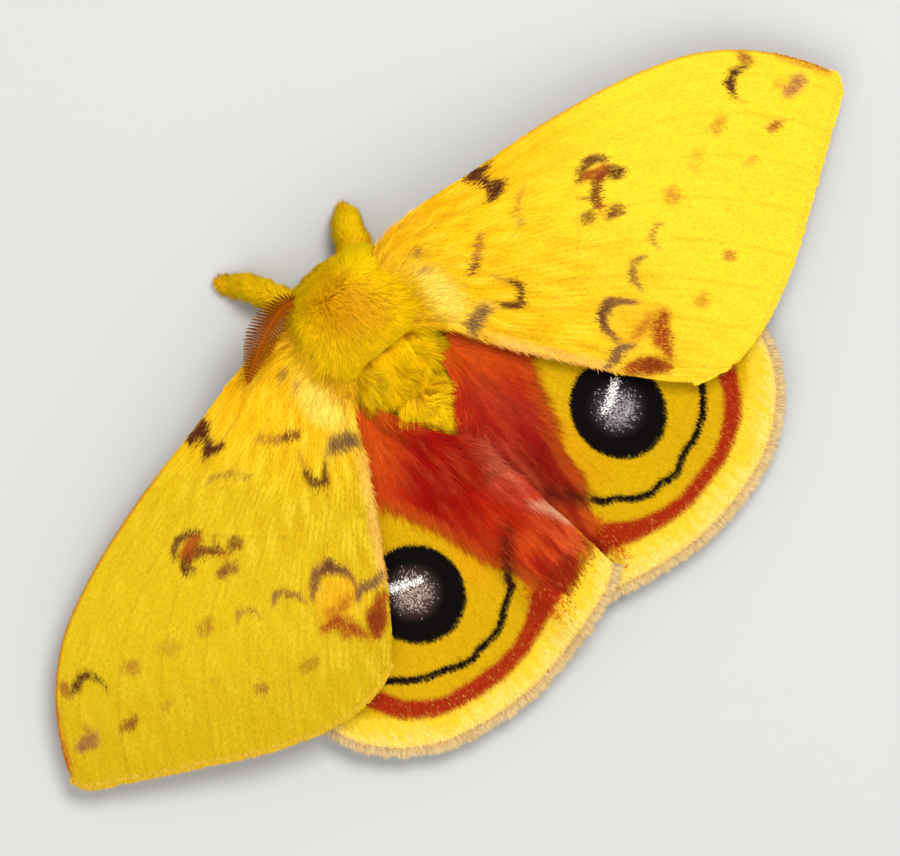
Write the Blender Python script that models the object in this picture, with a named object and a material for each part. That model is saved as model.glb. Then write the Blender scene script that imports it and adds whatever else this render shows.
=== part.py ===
# A male io moth, life size, resting with its forewings drawn forward so that the eyespots show.
# The moth faces +Y and its right side is +X. Its feet stand on the plane z = 0, and the origin is
# under the middle of the whole animal. Sizes are in millimetres, and MM makes them metres.
# Plans are drawn from the middle of the thorax, which stands THORAX_AHEAD in front of the origin.
import math
import random

import bmesh
import bpy
import numpy as np

MM = 0.001
THORAX_AHEAD = 8.25
GAP = 0.3
SIDES = ("left", "right")

# Right forewing in plan: leading edge, outer margin and inner edge
FORE_LEAD = [
    (1.9, 1.7), (3.0, 2.6), (4.4, 3.25), (7.0, 3.4), (12.0, 2.7), (18.0, 1.85), (24.0, 0.35), (28.0, -1.4),
    (31.0, -4.0), (33.0, -6.9), (33.65, -8.4),
]
FORE_OUTER = [
    (33.65, -8.4), (33.3, -9.35), (31.0, -10.9), (27.0, -13.4), (23.0, -15.8), (19.0, -17.4),
    (16.0, -17.7), (13.8, -17.1),
]
FORE_INNER = [(1.9, -1.2), (4.1, -3.5), (6.0, -6.8), (9.0, -11.2), (12.0, -15.3), (13.8, -17.1)]
FORE_ROOT = (3.4, 0.0, 7.1)
FORE_FALL = 0.162
FORE_CAMBER = 0.45
LEFT_FORE_TURN = -1.8

# Right hindwing in plan, with the middle of its fall
HIND_LEAD = [(2.0, -1.9), (6.0, -3.1), (11.0, -5.0), (15.5, -8.6), (18.3, -13.2), (19.0, -17.2)]
HIND_OUTER = [
    (19.0, -17.2), (18.4, -19.6), (16.8, -22.0), (14.0, -24.0), (10.5, -25.0), (7.0, -25.25),
    (3.5, -24.75), (1.0, -24.1), (-0.8, -23.5), (-1.9, -22.7),
]
HIND_INNER = [
    (2.1, -3.0), (2.6, -4.9), (1.9, -6.6), (0.9, -8.2), (0.0, -9.6), (-0.6, -12.0), (-1.2, -15.5),
    (-1.6, -19.0), (-1.9, -22.7),
]
HIND_ROOT = (3.0, -2.0, 5.5)
HIND_FALL = 0.168

# The hindwings lie over the abdomen, and the left one's inner part laps over the right one
DRAPE_GAP = 0.75
DRAPE_BLEND = 0.5
DRAPE_END = 5.0
LAP_LIFT = 1.15
LAP_ACROSS = (-5.0, -2.0)
LAP_ALONG = (6.5, 10.5)

# Wing plates. A vein is its place from the leading to the inner edge, and where along it starts.
# A cell is where along the wing its cross vein lies, and the veins that it joins.
MEMBRANE = 0.5
VEIN_RISE = 0.2
VEIN_FOOT = 0.016
CROSS_FOOT = 0.02
FORE_VEINS = [
    (0.07, 0), (0.18, 0), (0.3, 0.48), (0.42, 0.48), (0.54, 0.48), (0.65, 0), (0.77, 0.3), (0.91, 0),
]
FORE_CELL = (0.5, 0.18, 0.65)
FORE_VEIN_SPACE = 0.2
HIND_VEINS = [
    (0.08, 0), (0.21, 0), (0.33, 0.54), (0.45, 0.54), (0.57, 0.54), (0.67, 0), (0.79, 0.35), (0.91, 0),
]
HIND_CELL = (0.56, 0.21, 0.67)
HIND_VEIN_SPACE = 0.125
PLAIN_COLUMNS = [(0.0, None), (0.25, None), (0.5, None), (0.75, None), (1.0, None)]
PLAIN_STATIONS = [0.0, 0.1, 0.2, 0.3, 0.45, 0.6, 0.8, 1.0]

# Body sections out to the tips of the coat, front to back: y, middle z, half width, half height
THORAX = [
    (4.2, 5.3, 2.4, 1.8), (3.6, 5.3, 3.2, 2.6), (2.6, 5.3, 3.8, 3.1), (1.4, 5.2, 4.1, 3.5),
    (0.0, 5.2, 4.2, 3.6), (-1.5, 5.1, 4.0, 3.5), (-2.8, 4.9, 3.5, 3.0), (-4.2, 4.8, 2.8, 2.3),
    (-5.4, 4.8, 1.6, 1.3),
]
HEAD = [
    (5.0, 4.0, 1.1, 0.9), (4.6, 4.0, 1.8, 1.5), (3.9, 4.0, 2.1, 1.8), (3.0, 4.1, 2.0, 1.7),
    (2.4, 4.1, 1.2, 1.1),
]
ABDOMEN = [
    (-3.0, 4.0, 2.4, 2.2), (-4.6, 3.8, 2.6, 2.4), (-6.4, 3.5, 2.45, 2.3), (-8.2, 3.1, 2.1, 2.0),
    (-9.8, 2.8, 1.75, 1.65), (-11.4, 2.5, 1.3, 1.25), (-12.6, 2.3, 0.7, 0.7),
]
BODY_SIDES = 20
POLE_REACH = 0.35
EYE_AT = (1.95, 4.2, 3.8)
EYE_RADIUS = 0.75
EYE_RINGS = 8
EYE_SIDES = 12

# Coat: its depth, and rows of locks as y of the roots, how many go round, length and width
COAT_DEPTH = {"thorax": 1.3, "head": 0.8, "abdomen": 0.8}
CORE_SHARE = 0.5
ROOT_SINK = 0.35
LOCK_ROWS = {
    "thorax": [(4.0, 9, 2.0, 1.7), (2.8, 12, 2.6, 1.9), (1.4, 13, 2.8, 2.0), (-0.1, 13, 2.8, 2.0),
               (-1.6, 12, 2.6, 1.9), (-2.9, 9, 2.4, 1.8), (-3.9, 6, 1.8, 1.5)],
    "head": [(3.6, 8, -1.3, 1.2), (4.2, 8, -1.1, 1.0)],
    "abdomen": [(-5.2, 9, 2.5, 1.8), (-7.2, 8, 2.5, 1.7), (-9.0, 7, 2.4, 1.5), (-10.6, 5, 2.0, 1.2)],
}
LOCK_SHAPE = [(0.0, 0.6), (0.35, 1.0), (0.7, 0.75)]
LOCK_THICK = 0.55
LOCK_ARCH = 0.3
LOCK_SEED = 7
PALP_ROOT = (0.4, 4.2, 3.1)
PALP_TIP = (0.5, 5.6, 2.7)
PALP_WIDTH = 0.8

# Legs: root, knee, end of the tibia, heel and toe of the foot
LEGS = {
    "leg_front_left": [
        (-1.2, 2.2, 3.0), (-2.5, 4.6, 2.1), (-3.5, 6.7, 1.6), (-4.3, 7.7, 0.4), (-4.9, 8.4, 0.35),
    ],
    "leg_front_right": [
        (1.2, 2.2, 3.0), (2.9, 4.3, 2.1), (3.7, 5.6, 1.5), (4.2, 6.3, 0.4), (4.5, 6.8, 0.35),
    ],
    "leg_middle_left": [
        (-1.9, 0.3, 3.0), (-5.2, 1.4, 3.8), (-7.6, 0.5, 1.5), (-8.4, 0.2, 0.3), (-10.0, -0.5, 0.3),
    ],
    "leg_middle_right": [
        (1.9, 0.3, 3.0), (5.2, 1.2, 3.8), (7.5, 0.2, 1.5), (8.2, -0.2, 0.3), (9.7, -1.0, 0.3),
    ],
    "leg_hind_left": [
        (-1.6, -1.8, 3.2), (-4.4, -4.6, 3.3), (-5.9, -8.1, 1.4), (-6.2, -9.2, 0.3), (-6.9, -11.4, 0.3),
    ],
    "leg_hind_right": [
        (1.6, -1.8, 3.2), (4.5, -4.5, 3.3), (6.1, -7.9, 1.4), (6.5, -9.0, 0.3), (7.4, -11.1, 0.3),
    ],
}
LEG_RADII = [0.5, 0.6, 0.46, 0.55, 0.4, 0.36, 0.34, 0.28]
FORELEG_RADII = [0.5, 0.65, 0.55, 0.68, 0.6, 0.52, 0.46, 0.36]
LEG_SIDES = 8

# Locks on a foreleg's tibia: how far from the knee, and the angle round it
SHIN_LOCKS = [(0.05, 0.2), (0.1, 2.9), (0.3, 1.5), (0.55, 0.1), (0.6, 3.1), (0.75, 1.6)]
SHIN_LOCK_LENGTH = 1.9
SHIN_LOCK_SPREAD = 0.6
SHIN_LOCK_WIDTH = 1.0
SHIN_LOCK_SINK = 0.2

# Antennae: the line of each stem, and the rami, which grow shorter towards both ends
ANTENNAE = {
    "antenna_left": [
        (-0.8, 4.2, 5.0), (-1.7, 4.9, 6.7), (-3.9, 4.3, 8.0), (-6.0, 3.2, 8.1), (-8.1, 2.0, 7.7),
    ],
    "antenna_right": [
        (0.8, 4.2, 5.0), (2.4, 4.6, 5.7), (4.6, 3.4, 5.4), (6.6, 2.4, 5.2), (8.4, 1.8, 5.0),
    ],
}
STEM_RINGS = 9
STEM_SIDES = 6
STEM_RADIUS = (0.34, 0.25)
RAMUS_COUNT = 10
RAMUS_LENGTH = 0.95
RAMUS_TAPER = ([0.0, 0.15, 0.4, 0.8, 1.0], [0.42, 0.7, 1.0, 0.8, 0.45])
RAMUS_THICK = 0.54
RAMUS_SHAPE = [(0.0, 1.0), (0.6, 0.85)]
RAMUS_SWEEP = 0.55
RAMUS_ARCH = 0.05
ANTENNA_FLATNESS = 0.5


def clear_scene():
    for obj in list(bpy.data.objects):
        bpy.data.objects.remove(obj, do_unlink=True)


def material(name, colour, roughness):
    made = bpy.data.materials.new(name)
    made.use_nodes = True
    shader = made.node_tree.nodes["Principled BSDF"]
    shader.inputs["Base Color"].default_value = (*colour, 1.0)
    shader.inputs["Roughness"].default_value = roughness
    shader.inputs["Metallic"].default_value = 0.0
    return made


def unit(vector):
    return vector / np.linalg.norm(vector)


def smoothstep(value, low, high):
    """0 at low and 1 at high, with a smooth rise between."""
    share = min(1.0, max(0.0, (value - low) / (high - low)))
    return share * share * (3 - 2 * share)


def smooth_line(points, count):
    """Evenly spaced points on one smooth curve through the given ones (a centripetal spline)."""
    p = np.array(points, float)
    p = np.vstack([2 * p[0] - p[1], p, 2 * p[-1] - p[-2]])
    fine = []
    for a, b, c, d in zip(p, p[1:], p[2:], p[3:]):
        t1 = np.linalg.norm(b - a) ** 0.5
        t2 = t1 + np.linalg.norm(c - b) ** 0.5
        t3 = t2 + np.linalg.norm(d - c) ** 0.5
        for t in np.linspace(t1, t2, 16, endpoint=False):
            ab = a + (b - a) * t / t1
            bc = b + (c - b) * (t - t1) / (t2 - t1)
            cd = c + (d - c) * (t - t2) / (t3 - t2)
            abc = ab + (bc - ab) * t / t2
            bcd = bc + (cd - bc) * (t - t1) / (t3 - t1)
            fine.append(abc + (bcd - abc) * (t - t1) / (t2 - t1))
    fine = np.array([*fine, p[-2]])
    run = np.concatenate([[0], np.cumsum(np.linalg.norm(np.diff(fine, axis=0), axis=1))])
    even = np.linspace(0, run[-1], count)
    return np.stack([np.interp(even, run, fine[:, k]) for k in range(fine.shape[1])], axis=1)


def solid(name, points, faces, finish=None):
    """One closed mesh object from points in millimetres, measured from the middle of the thorax."""
    mesh = bpy.data.meshes.new(name)
    mesh.from_pydata([(x * MM, (y + THORAX_AHEAD) * MM, z * MM) for x, y, z in points], [], faces)
    shape = bmesh.new()
    shape.from_mesh(mesh)
    bmesh.ops.recalc_face_normals(shape, faces=shape.faces)
    shape.to_mesh(mesh)
    shape.free()
    mesh.shade_smooth()
    mesh.set_sharp_from_angle(angle=math.radians(40))
    obj = bpy.data.objects.new(name, mesh)
    bpy.context.scene.collection.objects.link(obj)
    if finish:
        mesh.materials.append(finish)
    return obj


def ringed(name, rings, start=None, end=None, finish=None):
    """A closed solid through rings of points. Each end closes in a point, or flat where none is given."""
    sides = len(rings[0])
    points = [point for ring in rings for point in ring]
    last = (len(rings) - 1) * sides
    faces = []
    for k in range(sides):
        n = (k + 1) % sides
        for first in range(0, last, sides):
            a, b = first + k, first + n
            faces += [(a, a + sides, b + sides), (a, b + sides, b)]
    for pole, ring in ((start, 0), (end, last)):
        if pole is None:
            faces.append(tuple(range(ring, ring + sides)))
        else:
            points.append(pole)
            faces += [(len(points) - 1, ring + k, ring + (k + 1) % sides) for k in range(sides)]
    return solid(name, points, faces, finish)


def oval(x, y, z, half_width, half_height, sides):
    turns = [2 * math.pi * k / sides for k in range(sides)]
    return [(x + half_width * math.cos(a), y, z + half_height * math.sin(a)) for a in turns]


def loft(name, sections, finish=None):
    """A rounded body through upright oval sections, closed by a point a little past each end."""
    rings = [oval(0.0, *section, BODY_SIDES) for section in sections]
    front, back = sections[0], sections[-1]
    start = (0.0, front[0] + POLE_REACH * front[2], front[1])
    end = (0.0, back[0] - POLE_REACH * back[2], back[1])
    return ringed(name, rings, start, end, finish)


def ball(name, centre, radius, finish):
    x, y, z = centre
    rings = []
    for r in range(1, EYE_RINGS):
        a = math.pi * r / EYE_RINGS
        around = radius * math.sin(a)
        rings.append(oval(x, y + radius * math.cos(a), z, around, around, EYE_SIDES))
    return ringed(name, rings, (x, y + radius, z), (x, y - radius, z), finish)


def tube(name, line, radii, sides, finish=None, flatness=1.0):
    """A closed tube along a line, pressed flat on the floor where it meets it."""
    line = np.array(line, float)
    rings = []
    for i, (at, radius) in enumerate(zip(line, radii)):
        ahead = unit(line[min(i + 1, len(line) - 1)] - line[max(i - 1, 0)])
        across = unit(np.cross(ahead, (0, 0, 1)))
        rise = np.cross(across, ahead) * flatness
        ring = []
        for k in range(sides):
            a = 2 * math.pi * (k + 0.5) / sides
            x, y, z = at + across * radius * math.cos(a) + rise * radius * math.sin(a)
            ring.append((x, y, max(z, 0.0)))
        rings.append(ring)
    return ringed(name, rings, finish=finish)


def lock(root, tip, out, width, thick=LOCK_THICK, arch=LOCK_ARCH, shape=LOCK_SHAPE):
    """One flat, tapered and bent lock from its sunk root to its tip. out points away from the body."""
    root, tip, out = (np.array(v, float) for v in (root, tip, out))
    middle = (root + tip) / 2 + out * arch
    across = unit(np.cross(tip - root, out))
    rings = []
    for s, share in shape:
        at = (1 - s) ** 2 * root + 2 * s * (1 - s) * middle + s * s * tip
        up = np.cross(across, unit((1 - s) * (middle - root) + s * (tip - middle)))
        side = across * width / 2 * share
        rise = up * thick / 2 * share
        rings.append([at + side, at + rise, at - side, at - rise])
    return ringed("lock", rings, end=tip)


def apply_modifiers(obj):
    graph = bpy.context.evaluated_depsgraph_get()
    made = bpy.data.meshes.new_from_object(obj.evaluated_get(graph))
    obj.modifiers.clear()
    obj.data = made


def keep_largest(obj):
    """Drops every loose piece but the one with the most faces."""
    shape = bmesh.new()
    shape.from_mesh(obj.data)
    groups, seen = [], set()
    for start in shape.faces:
        if start.index in seen:
            continue
        group, todo = [], [start]
        seen.add(start.index)
        while todo:
            face = todo.pop()
            group.append(face)
            for other in (f for edge in face.edges for f in edge.link_faces):
                if other.index not in seen:
                    seen.add(other.index)
                    todo.append(other)
        groups.append(group)
    groups.sort(key=len)
    loose = [face for group in groups[:-1] for face in group]
    bmesh.ops.delete(shape, geom=loose, context="FACES")
    shape.to_mesh(obj.data)
    shape.free()


def fuse(body, pieces):
    """Joins the pieces to the body in one union and removes them."""
    group = bpy.data.collections.new(body.name + "_pieces")
    for piece in pieces:
        bpy.context.scene.collection.objects.unlink(piece)
        group.objects.link(piece)
    bpy.context.scene.collection.children.link(group)
    join = body.modifiers.new("join", "BOOLEAN")
    join.operation = "UNION"
    join.solver = "MANIFOLD"
    join.operand_type = "COLLECTION"
    join.collection = group
    apply_modifiers(body)
    for piece in list(group.objects):
        bpy.data.objects.remove(piece, do_unlink=True)
    bpy.data.collections.remove(group)
    keep_largest(body)


def grown(obj):
    """A copy of an object swollen by the gap that neighbours keep."""
    cutter = obj.copy()
    cutter.data = obj.data.copy()
    cutter.name = obj.name + "_cutter"
    bpy.context.scene.collection.objects.link(cutter)
    shape = bmesh.new()
    shape.from_mesh(cutter.data)
    shape.normal_update()
    moves = [(v, v.normal * min(v.calc_shell_factor(), 2.0) * GAP * MM) for v in shape.verts]
    for vertex, move in moves:
        vertex.co += move
    shape.to_mesh(cutter.data)
    shape.free()
    return cutter


def cut_clear(obj, neighbours):
    """Cuts an object clear of its neighbours and keeps its largest closed surface."""
    for neighbour in neighbours:
        cutter = grown(neighbour)
        cut = obj.modifiers.new("clear", "BOOLEAN")
        cut.operation = "DIFFERENCE"
        cut.solver = "MANIFOLD"
        cut.object = cutter
        apply_modifiers(obj)
        bpy.data.objects.remove(cutter, do_unlink=True)
    keep_largest(obj)


def fore_height(x, y, s, t, side):
    """Height of the right forewing's plate, which falls away from its root and is arched a little."""
    reach = math.hypot(x - FORE_ROOT[0], y - FORE_ROOT[1])
    return FORE_ROOT[2] - FORE_FALL * reach + FORE_CAMBER * math.sin(math.pi * t) * s


def hind_height(x, y, s, t, side):
    """Height of the right hindwing's plate, which falls away from its root and lies over the abdomen."""
    fall = HIND_ROOT[2] - HIND_FALL * math.hypot(x - HIND_ROOT[0], y - HIND_ROOT[1])
    middle, half_width, half_height = section_at(ABDOMEN, y)
    last = ABDOMEN[-1][0]
    end = smoothstep(y, last - DRAPE_END, last)
    across = min(1.0, abs(x) / (half_width + DRAPE_GAP))
    drape = middle + end * (half_height + DRAPE_GAP) * math.sqrt(1 - across**2)
    blend = math.sqrt((fall - drape) ** 2 + DRAPE_BLEND**2) - DRAPE_BLEND * (1 - end)
    lap = smoothstep(-x, *LAP_ACROSS) * smoothstep(-y, *LAP_ALONG) if side == "left" else 0.0
    return (fall + drape + blend) / 2 + LAP_LIFT * lap


def wing_plate(name, edges, height, side, turn, columns, stations, half_thick, cell=None, finish=None):
    """A wing plate on a net of stations from the root to the margin and columns from the leading edge.

    Each column is its place, and how far along its vein starts, or None where it is no vein."""
    lead, outer, inner = (smooth_line(edge, 201) for edge in edges)
    steps = np.linspace(0, 1, 201)

    def along(line, share):
        return np.array([np.interp(share, steps, line[:, 0]), np.interp(share, steps, line[:, 1])])

    mirror = 1 if side == "right" else -1
    pivot = np.array(FORE_ROOT[:2])
    cosine, sine = math.cos(math.radians(turn)), math.sin(math.radians(turn))
    top, bottom = [], []
    for s in stations:
        for t, vein_from in columns:
            plan = (1 - t) * along(lead, s) + t * along(inner, s)
            plan += s * (along(outer, t) - (1 - t) * outer[0] - t * outer[-1])
            dx, dy = plan - pivot
            x, y = pivot[0] + cosine * dx - sine * dy, pivot[1] + sine * dx + cosine * dy
            z = height(x, y, s, t, side)
            on_vein = vein_from is not None and s >= vein_from
            on_cross = cell is not None and s == cell[0] and cell[1] <= t <= cell[2]
            rise = VEIN_RISE if on_vein or on_cross else 0.0
            top.append((mirror * x, y, z + half_thick + rise))
            bottom.append((mirror * x, y, z - half_thick - rise / 2))
    return solid(name, top + bottom, plate_faces(len(stations) - 1, len(columns)), finish)


def plate_faces(rows, count):
    """Triangles of a plate: its two faces are split alike, and a band closes the rim."""
    faces = []
    under = (rows + 1) * count
    for i in range(rows):
        for j in range(count - 1):
            a, b = i * count + j, i * count + j + 1
            c, d = b + count, a + count
            faces += [(a, b, c), (a, c, d)]
            faces += [(under + a, under + c, under + b), (under + a, under + d, under + c)]
    rim = list(range(count))
    rim += [i * count + count - 1 for i in range(1, rows + 1)]
    rim += [rows * count + j for j in range(count - 2, -1, -1)]
    rim += [i * count for i in range(rows - 1, 0, -1)]
    for a, b in zip(rim, rim[1:] + rim[:1]):
        faces += [(b, a, under + a), (b, under + a, under + b)]
    return faces


def vein_columns(veins, space):
    """Each vein takes three columns, its two feet and its crest, with one between veins set wide apart."""
    columns = [(0.0, None)]
    last = 0.0
    for place, vein_from in veins:
        if place - last > space:
            columns.append(((last + place) / 2, None))
        columns += [(place - VEIN_FOOT, None), (place, vein_from), (place + VEIN_FOOT, None)]
        last = place
    return columns + [((last + 1.0) / 2, None), (1.0, None)]


def stations_round(cross):
    """Stations from root to margin, with three close ones at the cross vein."""
    near = [share * (cross - 0.1) for share in (0.0, 0.25, 0.5, 0.75, 1.0)]
    far = [cross + 0.1 + share * (0.9 - cross) for share in (0.0, 0.35, 0.7, 1.0)]
    return near + [cross - CROSS_FOOT, cross, cross + CROSS_FOOT] + far


def make_wings():
    """Four plates, and a plain, thicker copy of each that its neighbours are cut clear of."""
    yellow = material("wing_yellow", (0.87, 0.62, 0.03), 0.75)
    red = material("wing_red", (0.45, 0.05, 0.01), 0.75)
    fore_edges = (FORE_LEAD, FORE_OUTER, FORE_INNER)
    hind_edges = (HIND_LEAD, HIND_OUTER, HIND_INNER)
    kinds = {
        "fore": (fore_edges, fore_height, vein_columns(FORE_VEINS, FORE_VEIN_SPACE), FORE_CELL, yellow),
        "hind": (hind_edges, hind_height, vein_columns(HIND_VEINS, HIND_VEIN_SPACE), HIND_CELL, red),
    }
    plain = []
    for kind, (edges, height, columns, cell, finish) in kinds.items():
        for side in SIDES:
            name = f"wing_{kind}_{side}"
            turn = LEFT_FORE_TURN if name == "wing_fore_left" else 0.0
            stations = stations_round(cell[0])
            wing_plate(name, edges, height, side, turn, columns, stations, MEMBRANE / 2, cell, finish)
            half, name = MEMBRANE / 2 + VEIN_RISE, name + "_plain"
            plain.append(wing_plate(name, edges, height, side, turn, PLAIN_COLUMNS, PLAIN_STATIONS, half))
    return plain


def make_eyes():
    finish = material("eye_black", (0.02, 0.015, 0.01), 0.2)
    x, y, z = EYE_AT
    centres = {"eye_left": (-x, y, z), "eye_right": (x, y, z)}
    return [ball(name, centre, EYE_RADIUS, finish) for name, centre in centres.items()]


def make_antennae():
    """A stem with a row of rami on each side, and a plain paddle that the coat is cut clear of."""
    finish = material("antenna_brown", (0.35, 0.14, 0.02), 0.6)
    plain = []
    for name, nodes in ANTENNAE.items():
        line = smooth_line(nodes, STEM_RINGS)
        stem = tube(name, line, np.linspace(*STEM_RADIUS, STEM_RINGS), STEM_SIDES, finish)
        fine = smooth_line(nodes, 4 * RAMUS_COUNT + 5)
        rami = []
        for k in range(RAMUS_COUNT):
            before, at, after = fine[4 * k + 4 : 4 * k + 7]
            ahead = unit(after - before)
            sideways = unit(np.cross(ahead, (0, 0, 1)))
            length = RAMUS_LENGTH * np.interp((k + 1) / RAMUS_COUNT, *RAMUS_TAPER)
            for way in (-sideways, sideways):
                tip = at + (way + ahead * RAMUS_SWEEP) * length
                rami.append(lock(at, tip, (0, 0, 1), RAMUS_THICK, RAMUS_THICK, RAMUS_ARCH, RAMUS_SHAPE))
        fuse(stem, rami)
        reach = RAMUS_LENGTH * np.interp(np.linspace(0, 1, STEM_RINGS), *RAMUS_TAPER)
        plain.append(tube(name + "_plain", line, reach, LEG_SIDES, flatness=ANTENNA_FLATNESS))
    return plain


def shin_locks(knee, ankle):
    """Locks round a foreleg's tibia, pointing down to the foot, which make it look like a brush."""
    ahead = unit(ankle - knee)
    side = unit(np.cross(ahead, (0, 0, 1)))
    up = np.cross(side, ahead)
    locks = []
    for from_knee, angle in SHIN_LOCKS:
        out = side * math.cos(angle) + up * math.sin(angle)
        root = knee + (ankle - knee) * from_knee + out * SHIN_LOCK_SINK
        tip = root + ahead * SHIN_LOCK_LENGTH + out * SHIN_LOCK_SPREAD
        locks.append(lock(root, tip, out, SHIN_LOCK_WIDTH))
    return locks


def make_legs(finish):
    """Six legs, brushy in front, and a plain copy of each that the coat is cut clear of."""
    plain = []
    for name, nodes in LEGS.items():
        root, knee, ankle, heel, toe = (np.array(node) for node in nodes)
        line = [root, (root + knee) / 2, knee, (knee + ankle) / 2, ankle, heel, (heel + toe) / 2, toe]
        front = "front" in name
        radii = FORELEG_RADII if front else LEG_RADII
        leg = tube(name, line, radii, LEG_SIDES, finish)
        if front:
            fuse(leg, shin_locks(knee, ankle))
        plain.append(tube(name + "_plain", line, radii, LEG_SIDES))
    return plain


def section_at(sections, y):
    """Middle height, half width and half height of a lofted body at a place along it."""
    rows = np.array(sections)[::-1]
    return [float(np.interp(y, rows[:, 0], rows[:, k])) for k in (1, 2, 3)]


def on_body(sections, y, angle, inset):
    """A point inset from a lofted body's surface, at an angle round its axis from its right side."""
    middle, half_width, half_height = section_at(sections, y)
    across, rise = (half_width - inset) * math.cos(angle), (half_height - inset) * math.sin(angle)
    return np.array([across, y, middle + rise])


def body_locks(sections, depth, rows, draw):
    """Rows of overlapping locks from the core out to the coat's surface, staggered row by row."""
    locks = []
    for order, (y, count, length, width) in enumerate(rows):
        for k in range(count):
            turn = k + 0.5 * (order % 2) + draw.uniform(-0.18, 0.18)
            angle = 2 * math.pi * turn / count + math.pi / 2
            root_y = y + draw.uniform(-0.2, 0.2)
            tip_y = root_y - length * draw.uniform(0.85, 1.12)
            root = on_body(sections, root_y, angle, depth * CORE_SHARE + ROOT_SINK)
            tip = on_body(sections, tip_y, angle + draw.uniform(-0.12, 0.12), 0.05)
            out = np.array([math.cos(angle), 0.0, math.sin(angle)])
            locks.append(lock(root, tip, out, width * draw.uniform(0.9, 1.15)))
    return locks


def make_bodies(finish, wings, eyes, antennae, legs):
    """Head, thorax and abdomen: a core with locks, cut clear of all that grows out of it."""
    draw = random.Random(LOCK_SEED)
    plain, coated = {}, {}
    for name, sections in (("thorax", THORAX), ("head", HEAD), ("abdomen", ABDOMEN)):
        inset = COAT_DEPTH[name] * CORE_SHARE
        plain[name] = loft(name + "_plain", sections)
        core = [(y, z, wide - inset, high - inset) for y, z, wide, high in sections]
        coated[name] = loft(name, core, finish)
        locks = body_locks(sections, COAT_DEPTH[name], LOCK_ROWS[name], draw)
        if name == "head":
            for way in (-1, 1):
                root, tip = ((way * x, y, z) for x, y, z in (PALP_ROOT, PALP_TIP))
                locks.append(lock(root, tip, (0, 0, 1), PALP_WIDTH))
        fuse(coated[name], locks)
    cut_clear(coated["head"], eyes + antennae + legs)
    cut_clear(coated["abdomen"], [plain["thorax"]] + wings + legs)
    cut_clear(coated["thorax"], [plain["head"]] + eyes + antennae + wings + legs)
    return list(plain.values())


clear_scene()
coat = material("coat_gold", (0.72, 0.43, 0.02), 0.85)
plain_wings = make_wings()
eyes = make_eyes()
plain_antennae = make_antennae()
plain_legs = make_legs(coat)
plain_bodies = make_bodies(coat, plain_wings, eyes, plain_antennae, plain_legs)
for stand_in in plain_wings + plain_antennae + plain_legs + plain_bodies:
    bpy.data.objects.remove(stand_in, do_unlink=True)
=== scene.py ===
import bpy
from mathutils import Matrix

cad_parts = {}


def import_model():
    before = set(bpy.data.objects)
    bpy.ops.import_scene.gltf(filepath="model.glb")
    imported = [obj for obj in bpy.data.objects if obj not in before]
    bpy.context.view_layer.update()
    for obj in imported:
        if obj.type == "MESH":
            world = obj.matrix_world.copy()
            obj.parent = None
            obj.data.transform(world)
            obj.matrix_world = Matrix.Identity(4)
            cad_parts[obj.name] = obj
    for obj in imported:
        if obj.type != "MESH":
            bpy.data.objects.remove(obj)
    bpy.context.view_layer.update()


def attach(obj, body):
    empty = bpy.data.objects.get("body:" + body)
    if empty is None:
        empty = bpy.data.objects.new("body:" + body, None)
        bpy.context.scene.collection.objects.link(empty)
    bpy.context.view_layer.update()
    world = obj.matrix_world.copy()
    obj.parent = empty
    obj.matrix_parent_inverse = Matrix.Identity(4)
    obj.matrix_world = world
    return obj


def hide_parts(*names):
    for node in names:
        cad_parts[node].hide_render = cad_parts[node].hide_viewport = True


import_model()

import math

import bpy
import numpy as np

# The view: a male io moth at rest, looked at from straight above, with its head to the upper left.
# Sizes are in millimetres from the middle of its thorax, with +Y towards the head, and world() turns
# them into metres in the frame. The camera is far off, so that heights hardly shift the plan.
MM = 0.001
THORAX_AHEAD = 8.25
PICTURE_WIDTH = 57.6
PICTURE_MIDDLE = (-0.08, -8.51)
PICTURE_TURN = -42.08
WING_LEVEL = 4.5
CAMERA_REACH = 600.0


def world(points):
    return (np.asarray(points, float) + (0.0, THORAX_AHEAD, 0.0)) * MM


camera = bpy.data.objects.new("camera", bpy.data.cameras.new("camera"))
bpy.context.scene.collection.objects.link(camera)
camera.data.sensor_width = 36.0
camera.data.lens = 36.0 * CAMERA_REACH / PICTURE_WIDTH
camera.data.clip_start, camera.data.clip_end = 0.01, 10.0
camera.data.dof.use_dof = False
camera.location = world((*PICTURE_MIDDLE, WING_LEVEL + CAMERA_REACH))
camera.rotation_euler = (0.0, 0.0, math.radians(PICTURE_TURN))
bpy.context.scene.camera = camera


# The studio: a plain pale floor, with a large soft light near the camera, a weaker one from the other
# side, and an even pale sky. None of it is part of the moth.
def linear(*levels):
    """A colour given as it looks on a screen, 0 to 255, as the linear one that a shader takes."""
    share = np.array(levels) / 255.0
    return np.where(share <= 0.04045, share / 12.92, ((share + 0.055) / 1.055) ** 2.4)


def finish(name, colour, roughness, sheen=0.0, specular=0.3):
    """A material with its Principled shader. Returns the material, its nodes, its links and the shader."""
    made = bpy.data.materials.new(name)
    made.use_nodes = True
    nodes, links = made.node_tree.nodes, made.node_tree.links
    shader = nodes["Principled BSDF"]
    shader.inputs["Base Color"].default_value = (*linear(*colour), 1.0)
    shader.inputs["Roughness"].default_value = roughness
    shader.inputs["Specular IOR Level"].default_value = specular
    shader.inputs["Sheen Weight"].default_value = sheen
    shader.inputs["Sheen Tint"].default_value = (*linear(*colour), 1.0)
    return made, nodes, links, shader


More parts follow.
